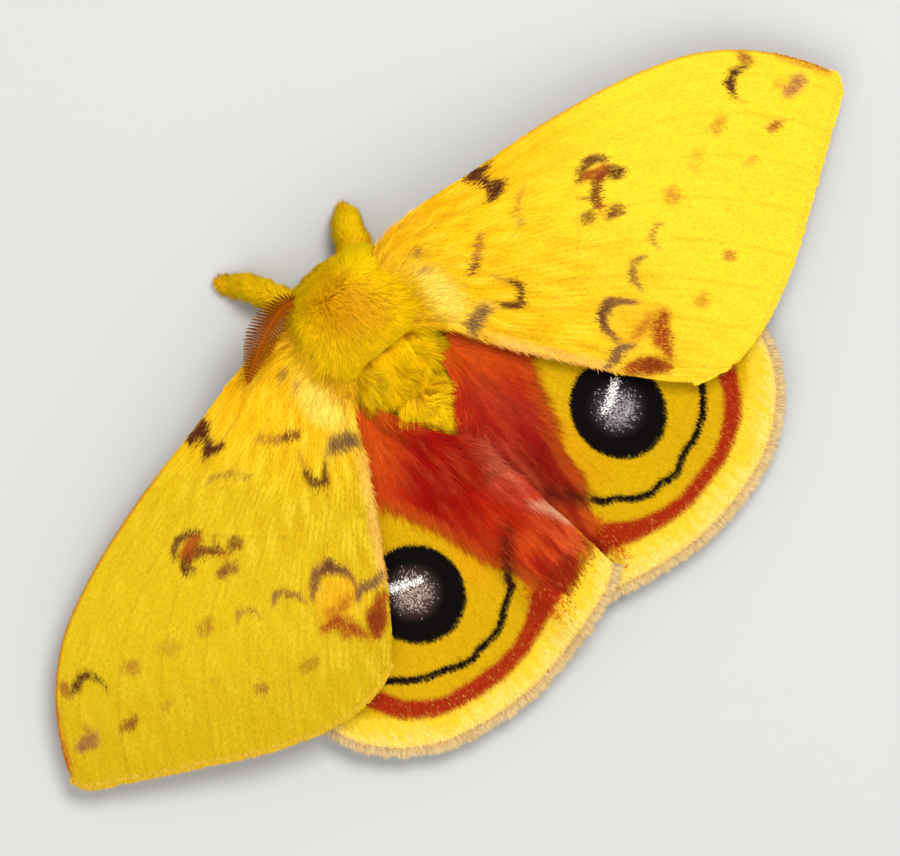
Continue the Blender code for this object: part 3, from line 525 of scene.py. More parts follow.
def hind_tint(wing, s, t, draw):
    """Colours of a hindwing's top. The red area's edge is drawn out along its hairs."""
    marks = HIND_MARKS[wing.side]
    plan = wing.own(s, t)
    left = wing.side < 0
    x, y = plan[:, 0] + draw.normal(0, 0.035, len(s)), plan[:, 1] + draw.normal(0, 0.035, len(s))
    fleck, cloud = draw.random(len(s)), patches(x, y, 2.5, 5 + wing.side)
    to_margin = (1 - s) * wing.length(t)
    tint = plain((204, 158, 1), len(s))
    tint = lay(tint, (212, 150, 1), (1 - smoothstep(x, 4.8, 6.6)) * smoothstep(y, -18.5, -16.5) * 0.9)
    tint = lay(tint, (196, 150, 2), cloud * 0.35 * smoothstep(to_margin, 2.6, 3.4))
    tint = lay(tint, (232, 192, 40), 1 - smoothstep(to_margin, 2.6, 3.4))
    ray = patches(t * 40, 0 * t, 0.7, 53)
    pale_rim = 1 - smoothstep(to_margin, 0.7, 1.6 + 1.4 * ray)
    tint = lay(tint, (242, 218, 130), pale_rim * (0.2 + 0.6 * (fleck > 0.5)))
    pull = draw.normal(0, 0.35, len(s)) * (1 + 1.2 * smoothstep(-y, 16.5, 19.0))
    red = red_share(wing.side, x + 0.25 * pull, y + pull)
    streak = patches(x * 2.6, y * 0.3, 0.8, 31 + wing.side)
    deep, bright, rose = (178, 8, 1), (226, 92, 14), (226, 126, 92)
    hair = plain((200, 42, 7), len(s))
    if left:
        hair = lay(hair, deep, spot(x, y, (2.6, -9.0), (2.4, 3.6), 15.0, 0.6))
    else:
        hair = lay(hair, (172, 18, 18), spot(x, y, (2.4, -10.6), (2.4, 4.4), 15.0, 0.7) * 0.9)
        hair = lay(hair, (140, 22, 10), spot(x, y, (2.3, -14.6), (1.5, 3.2), 0.0, 0.7) * 0.85)
        hair = lay(hair, (206, 78, 44), spot(x, y, (3.4, -8.2), (0.9, 2.6), 12.0, 0.7) * 0.35)
    root = smoothstep(y, -9.5, -5.0) * smoothstep(x, 1.6 - 0.3 * (y + 4), 3.8 - 0.3 * (y + 4))
    hair = lay(hair, bright, np.maximum(root, smoothstep(y, -6.5, -4.0)) * 0.9)
    low_inner = smoothstep(-y, 15.0, 16.5) * (1 - smoothstep(-y, 18.0, 20.0)) * (1 - smoothstep(x, 1.4, 3.0))
    hair = lay(hair, bright, low_inner * (0.15 + 0.5 * streak))
    low_streak = smoothstep(-y, 15.5, 18.5) * (1 - smoothstep(streak, 0.3, 0.6))
    hair = lay(hair, (164, 24, 5), low_streak * 0.85)
    # Lighter rose and orange strands over the red hair: partly its own tone, partly painted sheen along its
    # strands
    inner = 1 - smoothstep(x, -0.4, 1.3) if left else 1 - smoothstep(x, 0.2, 2.6)
    rosy = smoothstep(-y, 8.0, 10.0) * (1 - 0.8 * smoothstep(-y, 13.0, 15.5))
    hair = lay(hair, rose, inner * (0.2 + 0.6 * smoothstep(streak, 0.35, 0.75)) * rosy)
    hair = lay(hair, (224, 84, 34), 0.4 * smoothstep(streak, 0.5, 0.9))
    rim = red_share(wing.side, x, y) - red_share(wing.side, x + 0.8, y)
    hair = lay(hair, (220, 108, 20), rim * 0.45)
    tint = lay(tint, hair, red)
    band = stroke(x, y, marks["band"], np.array(marks["band_widths"]) + 0.1, 0.2)
    tint = lay(tint, (154, 34, 4), band * (0.9 + 0.1 * (fleck > 0.12)))
    tint = lay(tint, (222, 160, 70), (fleck > 0.97) * band * 0.5)
    tint = lay(tint, (12, 3, 1), stroke(x, y, marks["line"], 0.5, 0.07))
    smear = stroke(x, y, marks["smear"], [0.5, 0.8, 0.9, 0.5], 0.5)
    tint = lay(tint, (66, 22, 8), smear * (fleck > 0.12) * 0.9)
    # A painted highlight along the fold of the hindwing's inner edge, stronger on the left wing, which lies
    # on top
    fold_highlight_line = [(-0.3, -14.8), (-0.9, -15.4), (-1.3, -16.4), (-1.5, -17.6)]
    fold_highlight = stroke(x, y, fold_highlight_line, [0.2, 0.45, 0.4, 0.2], 0.3)
    tint = lay(tint, (240, 196, 150), fold_highlight * (0.8 if left else 0.4))
    tint = lay(tint, (6, 2, 2), spot(x, y, marks["eye"], marks["radii"], 0.0, 0.025))
    margin_line = stroke(to_margin, 0 * x, [(0.72, 0.0), (0.8, 0.0)], 0.2, 0.1)
    tint = lay(tint, (196, 140, 100), margin_line * 0.6)
    return pupil_tint(wing, x, y, tint, draw)


def pupil_tint(wing, x, y, tint, draw):
    """The grey middle of an eyespot, with white specks that crowd into a bright flash."""
    marks = HIND_MARKS[wing.side]
    reach = np.hypot(x - marks["pupil"][0], y - marks["pupil"][1])
    grey = 1 - smoothstep(reach, 0.5, 2.1)
    flash = stroke(x, y, marks["flash"], [0.25, 0.6, 0.45], 0.3)
    chance = draw.random(len(x))
    soft, speck = ((70, 60, 66), (192, 182, 188)) if wing.side > 0 else ((92, 70, 64), (210, 184, 168))
    tint = lay(tint, soft, grey * 0.9)
    tint = lay(tint, speck, (chance < 0.42 * grey**2 + 0.25 * flash) * 0.85)
    return lay(tint, (255, 250, 246), (chance < 0.8 * flash) * 0.95)


def under_tint(wing, s, t, draw):
    """Colours of a wing's underside: dull orange, with a line across it and, on a forewing, one eyespot."""
    plan = wing.own(s, t)
    x, y = plan[:, 0] + draw.normal(0, 0.1, len(s)), plan[:, 1] + draw.normal(0, 0.1, len(s))
    fleck = draw.random(len(s))
    tint = plain((226, 166, 44), len(s))
    tint = lay(tint, (205, 120, 40), patches(x, y, 4.0, 41) * 0.5)
    tint = lay(tint, (150, 78, 36), (fleck < 0.12) * 0.6)
    tint = lay(tint, (150, 60, 40), stroke(s, 0 * t, [(0.74, 0.0), (0.76, 0.0)], 0.012, 0.012) * 0.8)
    if wing.fore:
        eyespot = (17.2, -3.6)
        tint = lay(tint, (24, 14, 14), spot(x, y, eyespot, (1.7, 1.7), 0.0, 0.1))
        tint = lay(tint, (240, 236, 230), spot(x, y, eyespot, (0.5, 0.3), 30.0, 0.2))
        tint = lay(tint, (214, 130, 110), smoothstep(t, 0.7, 0.95) * 0.6)
    else:
        tint = lay(tint, (235, 228, 214), spot(x, y, (8.7, -13.5), (0.35, 0.3), 0.0, 0.3))
    return tint


def wing_tint(wing, s, t, draw):
    return (fore_tint if wing.fore else hind_tint)(wing, s, t, draw)


# The membranes: the wings' own skin, thinner than paper in life, closed round its edge, with the
# veins standing out of it. It carries the marks too, and shows where the scales part.
def paint(mesh, tint):
    """The colour at each of a mesh's points."""
    rgba = np.concatenate([tint, np.ones((len(tint), 1))], axis=1).astype(np.float32)
    mesh.attributes.new("tint", "FLOAT_COLOR", "POINT").data.foreach_set("color", rgba.ravel())


def mesh_piece(name, points, faces, material, tint=None, **values):
    """A piece of triangles from points in millimetres, with a colour and other values at its points."""
    mesh = bpy.data.meshes.new(name)
    mesh.vertices.add(len(points))
    mesh.vertices.foreach_set("co", world(points).astype(np.float32).ravel())
    mesh.loops.add(faces.size)
    mesh.loops.foreach_set("vertex_index", faces.astype(np.int32).ravel())
    mesh.polygons.add(len(faces))
    mesh.polygons.foreach_set("loop_start", np.arange(0, faces.size, 3, dtype=np.int32))
    mesh.update(calc_edges=True)
    mesh.validate()
    mesh.shade_smooth()
    if tint is not None:
        paint(mesh, tint)
    for key, value in values.items():
        mesh.attributes.new(key, "FLOAT", "POINT").data.foreach_set("value", value.astype(np.float32))
    mesh.materials.append(material)
    piece = bpy.data.objects.new(name, mesh)
    bpy.context.scene.collection.objects.link(piece)
    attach(piece, "root")
    return piece


def new_group(name, inputs, outputs):
    """An empty node group with named inputs, each with its start value, and named outputs."""
    group = bpy.data.node_groups.new(name, "ShaderNodeTree")
    for label, kind, value in inputs:
        group.interface.new_socket(label, in_out="INPUT", socket_type=kind).default_value = value
    for label, kind in outputs:
        group.interface.new_socket(label, in_out="OUTPUT", socket_type=kind)
    return group, group.nodes.new("NodeGroupInput"), group.nodes.new("NodeGroupOutput")


def place(nodes, kind, **settings):
    """A new node with its settings: its own properties or the values of its sockets."""
    node = nodes.new(kind)
    for key, value in settings.items():
        if hasattr(node, key):
            setattr(node, key, value)
        else:
            node.inputs[key.replace("_", " ").title()].default_value = value
    return node


def mottle_group():
    """Uneven colour, roughness and fine grain, for any skin or hair: soft clouds and a fine mottle."""
    group, entry, exit_ = new_group(
        "mottle",
        [("Colour", "NodeSocketColor", (1, 1, 1, 1)), ("Depth", "NodeSocketFloat", 0.2),
         ("Size", "NodeSocketFloat", 2000.0), ("Roughness", "NodeSocketFloat", 0.6)],
        [("Colour", "NodeSocketColor"), ("Roughness", "NodeSocketFloat"), ("Grain", "NodeSocketFloat")],
    )
    nodes, links = group.nodes, group.links
    coordinates = nodes.new("ShaderNodeTexCoord")
    noise = place(nodes, "ShaderNodeTexNoise", detail=3.0)
    links.new(coordinates.outputs["Object"], noise.inputs["Vector"])
    links.new(entry.outputs["Size"], noise.inputs["Scale"])
    centred = place(nodes, "ShaderNodeMath", operation="SUBTRACT")
    centred.inputs[1].default_value = 0.5
    links.new(noise.outputs["Fac"], centred.inputs[0])
    scaled = place(nodes, "ShaderNodeMath", operation="MULTIPLY_ADD")
    scaled.inputs[2].default_value = 1.0
    links.new(centred.outputs[0], scaled.inputs[0])
    links.new(entry.outputs["Depth"], scaled.inputs[1])
    tone = nodes.new("ShaderNodeHueSaturation")
    links.new(scaled.outputs[0], tone.inputs["Value"])
    links.new(entry.outputs["Colour"], tone.inputs["Color"])
    rough = place(nodes, "ShaderNodeMath", operation="MULTIPLY_ADD")
    rough.inputs[1].default_value = 0.3
    links.new(centred.outputs[0], rough.inputs[0])
    links.new(entry.outputs["Roughness"], rough.inputs[2])
    links.new(tone.outputs["Color"], exit_.inputs["Colour"])
    links.new(rough.outputs[0], exit_.inputs["Roughness"])
    links.new(noise.outputs["Fac"], exit_.inputs["Grain"])
    return group


MOTTLE = mottle_group()


def mottled(nodes, links, shader, colour, depth, size, roughness, bump):
    """Feeds a shader with a colour through the mottle, and a bump of its grain."""
    mottle = nodes.new("ShaderNodeGroup")
    mottle.node_tree = MOTTLE
    mottle.inputs["Depth"].default_value = depth
    mottle.inputs["Size"].default_value = size
    mottle.inputs["Roughness"].default_value = roughness
    if hasattr(colour, "is_output"):
        links.new(colour, mottle.inputs["Colour"])
    else:
        mottle.inputs["Colour"].default_value = (*linear(*colour), 1.0)
    links.new(mottle.outputs["Colour"], shader.inputs["Base Color"])
    links.new(mottle.outputs["Roughness"], shader.inputs["Roughness"])
    if bump:
        raised = nodes.new("ShaderNodeBump")
        raised.inputs["Distance"].default_value = bump * MM
        links.new(mottle.outputs["Grain"], raised.inputs["Height"])
        links.new(raised.outputs["Normal"], shader.inputs["Normal"])


def skin_finish(name, depth, size, bump):
    """Skin under scales or fur, in the colour painted on its points."""
    made, nodes, links, shader = finish(name, (200, 160, 20), 0.6, specular=0.04)
    painted = place(nodes, "ShaderNodeAttribute", attribute_name="tint")
    mottled(nodes, links, shader, painted.outputs["Color"], depth, size, 0.62, bump)
    return made


# Half the thickness of a membrane
MEMBRANE_HALF = 0.04
# The membrane is painted darker than the scales on it, as painted shade, because it shows only between them
MEMBRANE_SHADE = 0.88
membrane_finish = skin_finish("wing_membrane", 0.35, 9000.0, 0.02)


def membrane(wing, rows=110, columns=100):
    """The closed shell: its top net, its bottom net, and a band round the rim."""
    draw = np.random.default_rng(100 + len(wing.name) + wing.side)
    share, t = np.meshgrid(np.linspace(0, 1, rows), np.linspace(0, 1, columns), indexing="ij")
    share, t = share.ravel(), t.ravel()
    s = share * wing.edge(t)
    middle = wing.at(s, t)
    up = wing.directions(s, t)[2] * MEMBRANE_HALF
    index = np.arange(rows * columns).reshape(rows, columns)
    a, b = index[:-1, :-1].ravel(), index[:-1, 1:].ravel()
    c, d = index[1:, 1:].ravel(), index[1:, :-1].ravel()
    top = np.concatenate([np.stack([a, d, c], 1), np.stack([a, c, b], 1)])
    if wing.side < 0:
        top = top[:, ::-1]
    under = len(middle)
    rim = np.concatenate([index[0], index[1:, -1], index[-1, -2::-1], index[-2:0:-1, 0]])
    after = np.roll(rim, -1)
    band = [np.stack([rim, under + rim, after], 1), np.stack([after, under + rim, under + after], 1)]
    band = np.concatenate(band)
    if wing.side > 0:
        band = band[:, ::-1]
    faces = np.concatenate([top, under + top[:, ::-1], band])
    # The membrane's colours take the painted shade of MEMBRANE_SHADE
    tint = np.concatenate([wing_tint(wing, s, t, draw), under_tint(wing, s, t, draw)]) * MEMBRANE_SHADE
    points = np.concatenate([middle + up, middle - up])
    piece = mesh_piece("membrane_" + wing.name, points, faces, membrane_finish, tint)
    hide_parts("wing_" + wing.name)


for wing in WINGS.values():
    membrane(wing)


# The scales: flat hollow bristles like roof tiles, rooted in the membrane and lying towards the
# margin. They are short over most of a wing, and long and hair-like at its root and inner edge.
TUFT_FACES = np.array([(0, 3, 2), (1, 2, 3), (0, 2, 1), (0, 1, 3)])
# Where a tuft's keel stands, as a share of its length, and the lowest that any tuft reaches
KEEL_AT, OVER_FLOOR = 0.42, 0.02
# How far a tuft's normals spread to its two sides, and its tip's to the front, so that it shades as round
SIDE_SPREAD, TIP_SPREAD = 0.55, 0.35
# Half the size of a tuft's patch on the unwrap
PATCH = 0.0015


def tufts(name, roots, ahead, up, length, width, arch, lift, tint, unwrap, material, draw):
    """One piece of closed, keeled tufts with four faces each: two root corners, a keel and a tip.

    arch is how far the keel stands out and lift how far the tip does."""
    count = len(roots)
    side = unit(np.cross(ahead, up))
    half = side * (width / 2)[:, None]
    keel = roots + ahead * (KEEL_AT * length)[:, None] + up * arch[:, None]
    tip = roots + ahead * length[:, None] + up * lift[:, None]
    points = np.stack([roots + half, roots - half, keel, tip], axis=1).reshape(-1, 3)
    points[:, 2] = np.maximum(points[:, 2], OVER_FLOOR)
    faces = (TUFT_FACES[None] + 4 * np.arange(count)[:, None, None]).reshape(-1, 3)
    shade = np.repeat(draw.random(count), 4)
    reach = np.tile([0.0, 0.0, 0.45, 1.0], count)
    piece = mesh_piece(name, points, faces, material, np.repeat(tint, 4, axis=0), shade=shade, reach=reach)
    spread = SIDE_SPREAD * side
    normals = np.stack([up + spread, up - spread, up, up + TIP_SPREAD * ahead], axis=1).reshape(-1, 3)
    piece.data.normals_split_custom_set_from_vertices(unit(normals).astype(np.float32))
    corners = np.array([(PATCH, -PATCH), (-PATCH, -PATCH), (0.0, 0.0), (0.0, PATCH)])
    places = (unwrap[:, None] + corners[None]).reshape(-1, 2)
    layer = piece.data.uv_layers.new(name="OFBake")
    layer.data.foreach_set("uv", places[faces.ravel()].astype(np.float32).ravel())
    return piece


def wing_tufts(kind, wing, s, t, sunk, ahead, up, length, width, arch, lift, tint, material, draw):
    """Tufts rooted in a wing's top, or in its underside where up points down, sunk a little into it."""
    roots = wing.at(s, t) + up * (MEMBRANE_HALF - sunk)
    tufts(kind + "_" + wing.name, roots, ahead, up, length, width, arch, lift, tint, wing.unwrap(s, t),
          material, draw)


def tuft_finish(name, root_shade, spread, sheen, roughness=0.6, warmth=0.0):
    """Tufts in the colour painted on them, with painted shade that makes them darker and warmer at the root,
    each of its own brightness.
    """
    made, nodes, links, shader = finish(name, (220, 180, 20), roughness, sheen=sheen, specular=0.05)
    painted = place(nodes, "ShaderNodeAttribute", attribute_name="tint")
    shade = place(nodes, "ShaderNodeAttribute", attribute_name="shade")
    reach = place(nodes, "ShaderNodeAttribute", attribute_name="reach")
    tone = nodes.new("ShaderNodeGroup")
    tone.node_tree = TUFT_TONE
    tone.inputs["Root"].default_value = root_shade
    tone.inputs["Spread"].default_value = spread
    tone.inputs["Warmth"].default_value = warmth
    links.new(painted.outputs["Color"], tone.inputs["Colour"])
    links.new(shade.outputs["Fac"], tone.inputs["Shade"])
    links.new(reach.outputs["Fac"], tone.inputs["Reach"])
    mottled(nodes, links, shader, tone.outputs["Colour"], 0.16, 3500.0, roughness, 0.0)
    return made


def tuft_tone_group():
    """Brightness of a tuft: painted shade from its root's share of the full colour to all of it, warmer
    towards the root, and its own shade.
    """
    group, entry, exit_ = new_group(
        "tuft_tone",
        [("Colour", "NodeSocketColor", (1, 1, 1, 1)), ("Shade", "NodeSocketFloat", 0.5),
         ("Reach", "NodeSocketFloat", 1.0), ("Root", "NodeSocketFloat", 0.7),
         ("Spread", "NodeSocketFloat", 0.2), ("Warmth", "NodeSocketFloat", 0.0)],
        [("Colour", "NodeSocketColor")],
    )
    nodes, links = group.nodes, group.links
    rise = place(nodes, "ShaderNodeMapRange", interpolation_type="SMOOTHSTEP")
    links.new(entry.outputs["Reach"], rise.inputs["Value"])
    links.new(entry.outputs["Root"], rise.inputs["To Min"])
    centred = place(nodes, "ShaderNodeMath", operation="SUBTRACT")
    centred.inputs[1].default_value = 0.5
    links.new(entry.outputs["Shade"], centred.inputs[0])
    own = place(nodes, "ShaderNodeMath", operation="MULTIPLY_ADD")
    links.new(centred.outputs[0], own.inputs[0])
    links.new(entry.outputs["Spread"], own.inputs[1])
    links.new(rise.outputs["Result"], own.inputs[2])
    depth = place(nodes, "ShaderNodeMath", operation="SUBTRACT")
    depth.inputs[0].default_value = 1.0
    links.new(entry.outputs["Reach"], depth.inputs[1])
    power = place(nodes, "ShaderNodeMath", operation="MULTIPLY_ADD")
    power.inputs[2].default_value = 1.0
    links.new(depth.outputs[0], power.inputs[0])
    links.new(entry.outputs["Warmth"], power.inputs[1])
    warm = nodes.new("ShaderNodeGamma")
    links.new(entry.outputs["Colour"], warm.inputs["Color"])
    links.new(power.outputs[0], warm.inputs["Gamma"])
    tone = nodes.new("ShaderNodeHueSaturation")
    links.new(own.outputs[0], tone.inputs["Value"])
    links.new(warm.outputs["Color"], tone.inputs["Color"])
    links.new(tone.outputs["Color"], exit_.inputs["Colour"])
    return group


TUFT_TONE = tuft_tone_group()
scale_finish = tuft_finish("wing_scales", 0.83, 0.3, 0.03)
fringe_finish = tuft_finish("wing_fringe", 0.7, 0.35, 0.04)


def scatter(wing, count, draw, rim=0.0):
    """Staggered places over a wing, as s and t, each shifted a little from its row, none near the rim."""
    spacing = math.sqrt(wing.area / count)
    rows = int(wing.lengths.mean() / spacing)
    all_s, all_t = [], []
    for k in range(rows):
        row = (k + 0.5) / rows
        width = wing.width(row)
        places = max(4, int(width / spacing))
        t = (np.arange(places) + draw.random(places)) / places
        aside = min(rim / width, 0.3)
        all_t.append(aside + (1 - 2 * aside) * t)
        limit = 1 - (wing.fringe + 2 * rim) / wing.length(t)
        all_s.append((row + draw.uniform(-0.5, 0.5, places) / rows) * limit)
    return np.clip(np.concatenate(all_s), 0.0, 1.0), np.concatenate(all_t)


def turned(ahead, across, angle):
    return ahead * np.cos(angle)[:, None] + across * np.sin(angle)[:, None]


def bared(wing, s, t):
    """Chance that a scale is needed: few are under a forewing or the red hair, where nothing shows them."""
    if wing.fore:
        return np.ones(len(s))
    x, y = wing.own(s, t).T
    inner = np.array(FORE_EDGES[2])[::-1]
    hidden = smoothstep(x - np.interp(y, inner[:, 1], inner[:, 0]), 0.9, 1.3) * smoothstep(y, -16.6, -16.0)
    return (1 - 0.75 * hidden) * (1 - 0.65 * red_share(wing.side, x + 0.6, y) * smoothstep(y, -19.5, -18.5))


def scales(wing, count, seed):
    draw = np.random.default_rng(seed)
    s, t = scatter(wing, count, draw)
    keep = draw.random(len(s)) < bared(wing, s, t)
    s, t = s[keep], t[keep]
    ahead, across, up = wing.directions(s, t)
    tint = wing_tint(wing, s, t, draw)
    root = 1 - smoothstep(s, 0.06, 0.24 if wing.fore else 0.12)
    edge = smoothstep(t, 0.9, 0.98) * (1 - smoothstep(s, 0.7, 0.85)) * wing.fore
    long = np.maximum(root, 0.4 * edge)
    inner = (1 - smoothstep(s, 0.3, 0.65)) * wing.fore
    length = (0.26 + 0.95 * long + 0.14 * inner) * draw.uniform(0.8, 1.2, len(s))
    width = (0.1 - 0.02 * np.maximum(long, inner)) * draw.uniform(0.8, 1.2, len(s))
    arch = 0.018 + 0.08 * long + draw.uniform(0, 0.02, len(s))
    lift = arch * draw.uniform(0.6, 2.0, len(s))
    ahead = turned(ahead, across, draw.normal(0, 0.14, len(s)) + 0.35 * edge)
    wing_tufts("scales", wing, s, t, 0.015, ahead, up, length, width, arch, lift, tint, scale_finish, draw)


def pupil_scales(wing, count, seed):
    """Much finer scales over the middle of an eyespot, which make its white specks."""
    draw = np.random.default_rng(seed)
    s, t = scatter(wing, count, draw)
    x, y = wing.own(s, t).T
    centre = HIND_MARKS[wing.side]["pupil"]
    keep = np.hypot(x - centre[0], y - centre[1]) < 2.2
    s, t, x, y = s[keep], t[keep], x[keep], y[keep]
    ahead, across, up = wing.directions(s, t)
    ahead = turned(ahead, across, draw.normal(0, 0.5, len(s)))
    tint = pupil_tint(wing, x, y, plain((6, 2, 2), len(s)), draw)
    length, width = 0.13 * draw.uniform(0.8, 1.2, len(s)), 0.08 * draw.uniform(0.8, 1.2, len(s))
    arch = draw.uniform(0.01, 0.025, len(s))
    wing_tufts("pupil", wing, s, t, -0.025, ahead, up, length, width, arch, arch, tint, scale_finish, draw)


def under_scales(wing, count, seed):
    draw = np.random.default_rng(seed)
    s, t = scatter(wing, count, draw, 0.4)
    ahead, across, up = wing.directions(s, t)
    ahead = turned(ahead, across, draw.normal(0, 0.16, len(s)))
    length = (0.6 + 0.4 * (1 - smoothstep(s, 0.05, 0.25))) * draw.uniform(0.8, 1.2, len(s))
    width, arch = 0.2 * draw.uniform(0.8, 1.2, len(s)), draw.uniform(0.02, 0.05, len(s))
    wing_tufts("underscales", wing, s, t, 0.015, ahead, -up, length, width, arch, arch * 1.2,
               under_tint(wing, s, t, draw), scale_finish, draw)


def fringe(wing, count, seed):
    """Two uneven ranks of long scales along the margin, which make its soft edge."""
    draw = np.random.default_rng(seed)
    t = (np.arange(count) + draw.random(count)) / count
    rank = draw.random(count)
    s = wing.edge(t) - 0.012 * rank
    ahead, _, up = wing.directions(s, t)
    margin, step = np.ones(count), 0.01
    rim = unit(wing.at(margin, np.minimum(t + step, 1.0)) - wing.at(margin, np.maximum(t - step, 0.0)))
    out = unit(ahead - 0.85 * rim * (ahead * rim).sum(axis=1, keepdims=True))
    out = turned(out, rim, draw.normal(0, 0.13, count))
    clump = patches(t * 60, 0 * t, 0.8, seed)
    length = wing.fringe * (0.85 + 0.35 * clump + 0.2 * rank) * draw.uniform(0.85, 1.12, count)
    if wing.fore:
        # Painted shade: the left forewing's fringe is painted darker, like the rest of that wing
        own = (250, 206, 24) if wing.side > 0 else (206, 164, 14)
        tint = lay(plain(own, count), (226, 180, 76), rank * 0.5)
        tint = lay(tint, (170, 110, 40), (draw.random(count) < 0.05) * 0.5)
    else:
        tint = lay(plain((208, 180, 124), count), (160, 112, 70), rank**3 * 0.7)
        tint = lay(tint, (110, 84, 60), (draw.random(count) < 0.12) * 0.6)
    width, arch = 0.12 * draw.uniform(0.8, 1.2, count), draw.uniform(0.02, 0.05, count)
    lift = arch * draw.uniform(-0.5, 1.0, count)
    wing_tufts("fringe", wing, s, t, 0.02, out, up, length, width, arch, lift, tint, fringe_finish, draw)


HINDWINGS = (WINGS["hind_left"], WINGS["hind_right"])
for order, wing in enumerate(WINGS.values()):
    scales(wing, 46000 if wing.fore else 57000, 200 + order)
    under_scales(wing, 7500, 300 + order)
    fringe(wing, 3200, 400 + order)
for wing in HINDWINGS:
    pupil_scales(wing, 175000, 450 + wing.side)


# The red hair: long fine hair over the hindwings' roots and inner halves, swept back along them.
# It hides the joint with the abdomen and covers the black line's inner end.
def hind_hair(wing, count, seed):
    draw = np.random.default_rng(seed)
    s, t = scatter(wing, count * 2, draw)
    plan = wing.own(s, t)
    inside = red_share(wing.side, plan[:, 0] + 0.2, plan[:, 1])
    keep = (draw.random(len(s)) < inside) & (s < 0.88 - 0.1 * smoothstep(plan[:, 0], 1.2, 2.4))
    s, t, (x, y) = s[keep], t[keep], plan[keep].T
    ahead, across, up = wing.directions(s, t)
    tint = hind_tint(wing, s, t, draw)
    size = 1 - 0.45 * smoothstep(s, 0.45, 0.8)
    length = 1.9 * size * draw.uniform(0.6, 1.15, len(s))
    wave = 0.3 * (patches(x, y, 2.2, seed) - 0.5)
    beside_tuft = np.exp(-(((y + 4.8) / 0.8) ** 2))
    inward = smoothstep(t, 0.86, 1.0) * (0.45 - 0.35 * smoothstep(-y, 4.5, 7.5) + 0.15 * beside_tuft)
    ahead = turned(ahead, across, draw.normal(0, 0.12, len(s)) + wave + inward)
    width = 0.06 * draw.uniform(0.7, 1.3, len(s))
    arch = 0.17 * size * draw.uniform(0.5, 1.3, len(s))
    lift = arch * draw.uniform(0.6, 1.6, len(s))
    wing_tufts("hair", wing, s, t, 0.01, ahead, up, length, width, arch, lift, tint, hair_finish, draw)


hair_finish = tuft_finish("red_hair", 0.62, 0.4, 0.05, 0.5)
for wing in HINDWINGS:
    hind_hair(wing, 31000, 500 + wing.side)


# The body: head, thorax, abdomen and six legs under one unbroken skin, built as plain forms and then
# melted together, so that no seam shows. It lies inside the solids by the depth of their cores.
THORAX = [
    (3.85, 5.3, 2.95, 2.0), (3.5, 5.3, 3.3, 2.6), (2.6, 5.3, 3.8, 3.1), (1.4, 5.2, 4.1, 3.5),
    (0.0, 5.2, 4.2, 3.6), (-1.5, 5.1, 4.0, 3.5), (-2.8, 4.9, 3.5, 3.0), (-4.2, 4.8, 2.8, 2.3),
    (-5.4, 4.8, 1.6, 1.3),
]
HEAD = [(4.05, 4.0, 1.8, 1.5), (3.8, 4.0, 2.0, 1.7), (3.4, 4.0, 2.1, 1.8), (3.0, 4.1, 2.0, 1.7),
        (2.4, 4.1, 1.2, 1.1)]
# Each part's sections, how far its skin lies inside them, and how far its ends bulge for their width
BODY = {"thorax": (THORAX, 0.65, 0.24), "head": (HEAD, 0.4, 0.25), "abdomen": (ABDOMEN, 0.4, 0.52)}
EYE_AT, EYE_RADIUS = (1.95, 3.8, 3.75), 0.74
PALP = [(0.4, 3.8, 3.1), (0.45, 4.25, 2.9), (0.47, 4.6, 2.8)]
# Each leg: root, knee, end of the tibia, heel and toe of the foot
LEGS = {
    "leg_front_left": [(-1.2, 2.2, 3.0), (-2.5, 4.6, 2.1), (-3.5, 6.7, 1.6), (-4.3, 7.7, 0.4),
                       (-4.9, 8.4, 0.35)],
    "leg_front_right": [(1.2, 2.2, 3.0), (3.1, 4.1, 2.1), (3.75, 5.5, 1.5), (4.2, 6.2, 0.45),
                        (4.4, 6.6, 0.35)],
    "leg_middle_left": [(-1.9, 0.3, 3.0), (-5.2, 1.4, 3.8), (-7.6, 0.5, 1.5), (-8.4, 0.2, 0.3),
                        (-10.0, -0.5, 0.3)],
    "leg_middle_right": [(1.9, 0.3, 3.0), (5.2, 1.2, 3.8), (7.5, 0.2, 1.5), (8.2, -0.2, 0.3),
                         (9.7, -1.0, 0.3)],
    "leg_hind_left": [(-1.6, -1.8, 3.2), (-4.4, -4.6, 3.3), (-5.9, -8.1, 1.4), (-6.2, -9.2, 0.3),
                      (-6.9, -11.4, 0.3)],
    "leg_hind_right": [(1.6, -1.8, 3.2), (4.5, -4.5, 3.3), (6.1, -7.9, 1.4), (6.5, -9.0, 0.3),
                       (7.4, -11.1, 0.3)],
}
# Half the thickness of each leg at these shares of its length
LEG_SHARES = [0.0, 0.25, 0.5, 0.75, 0.88, 1.0]
LEG_RADII = {
    "leg_front_left": [0.42, 0.6, 0.6, 0.54, 0.44, 0.3],
    "leg_front_right": [0.45, 0.78, 0.78, 0.66, 0.48, 0.3],
    "other": [0.36, 0.34, 0.3, 0.26, 0.2, 0.17],
}


def closed_rings(rings):
    """Points and faces of a closed form through rings of points, each end closed by a fan."""
    rings = np.asarray(rings, float)
    count, sides = rings.shape[:2]
    points = np.vstack([rings.reshape(-1, 3), rings[0].mean(axis=0), rings[-1].mean(axis=0)])
    k = np.arange(sides)
    n, start, end = (k + 1) % sides, np.full(sides, count * sides), np.full(sides, count * sides + 1)
    last = (count - 1) * sides
    faces = [np.stack([start, k, n], 1), np.stack([end, n + last, k + last], 1)]
    for first in range(0, last, sides):
        a, b = first + k, first + n
        faces += [np.stack([a, a + sides, b + sides], 1), np.stack([a, b + sides, b], 1)]
    return points, np.concatenate(faces)


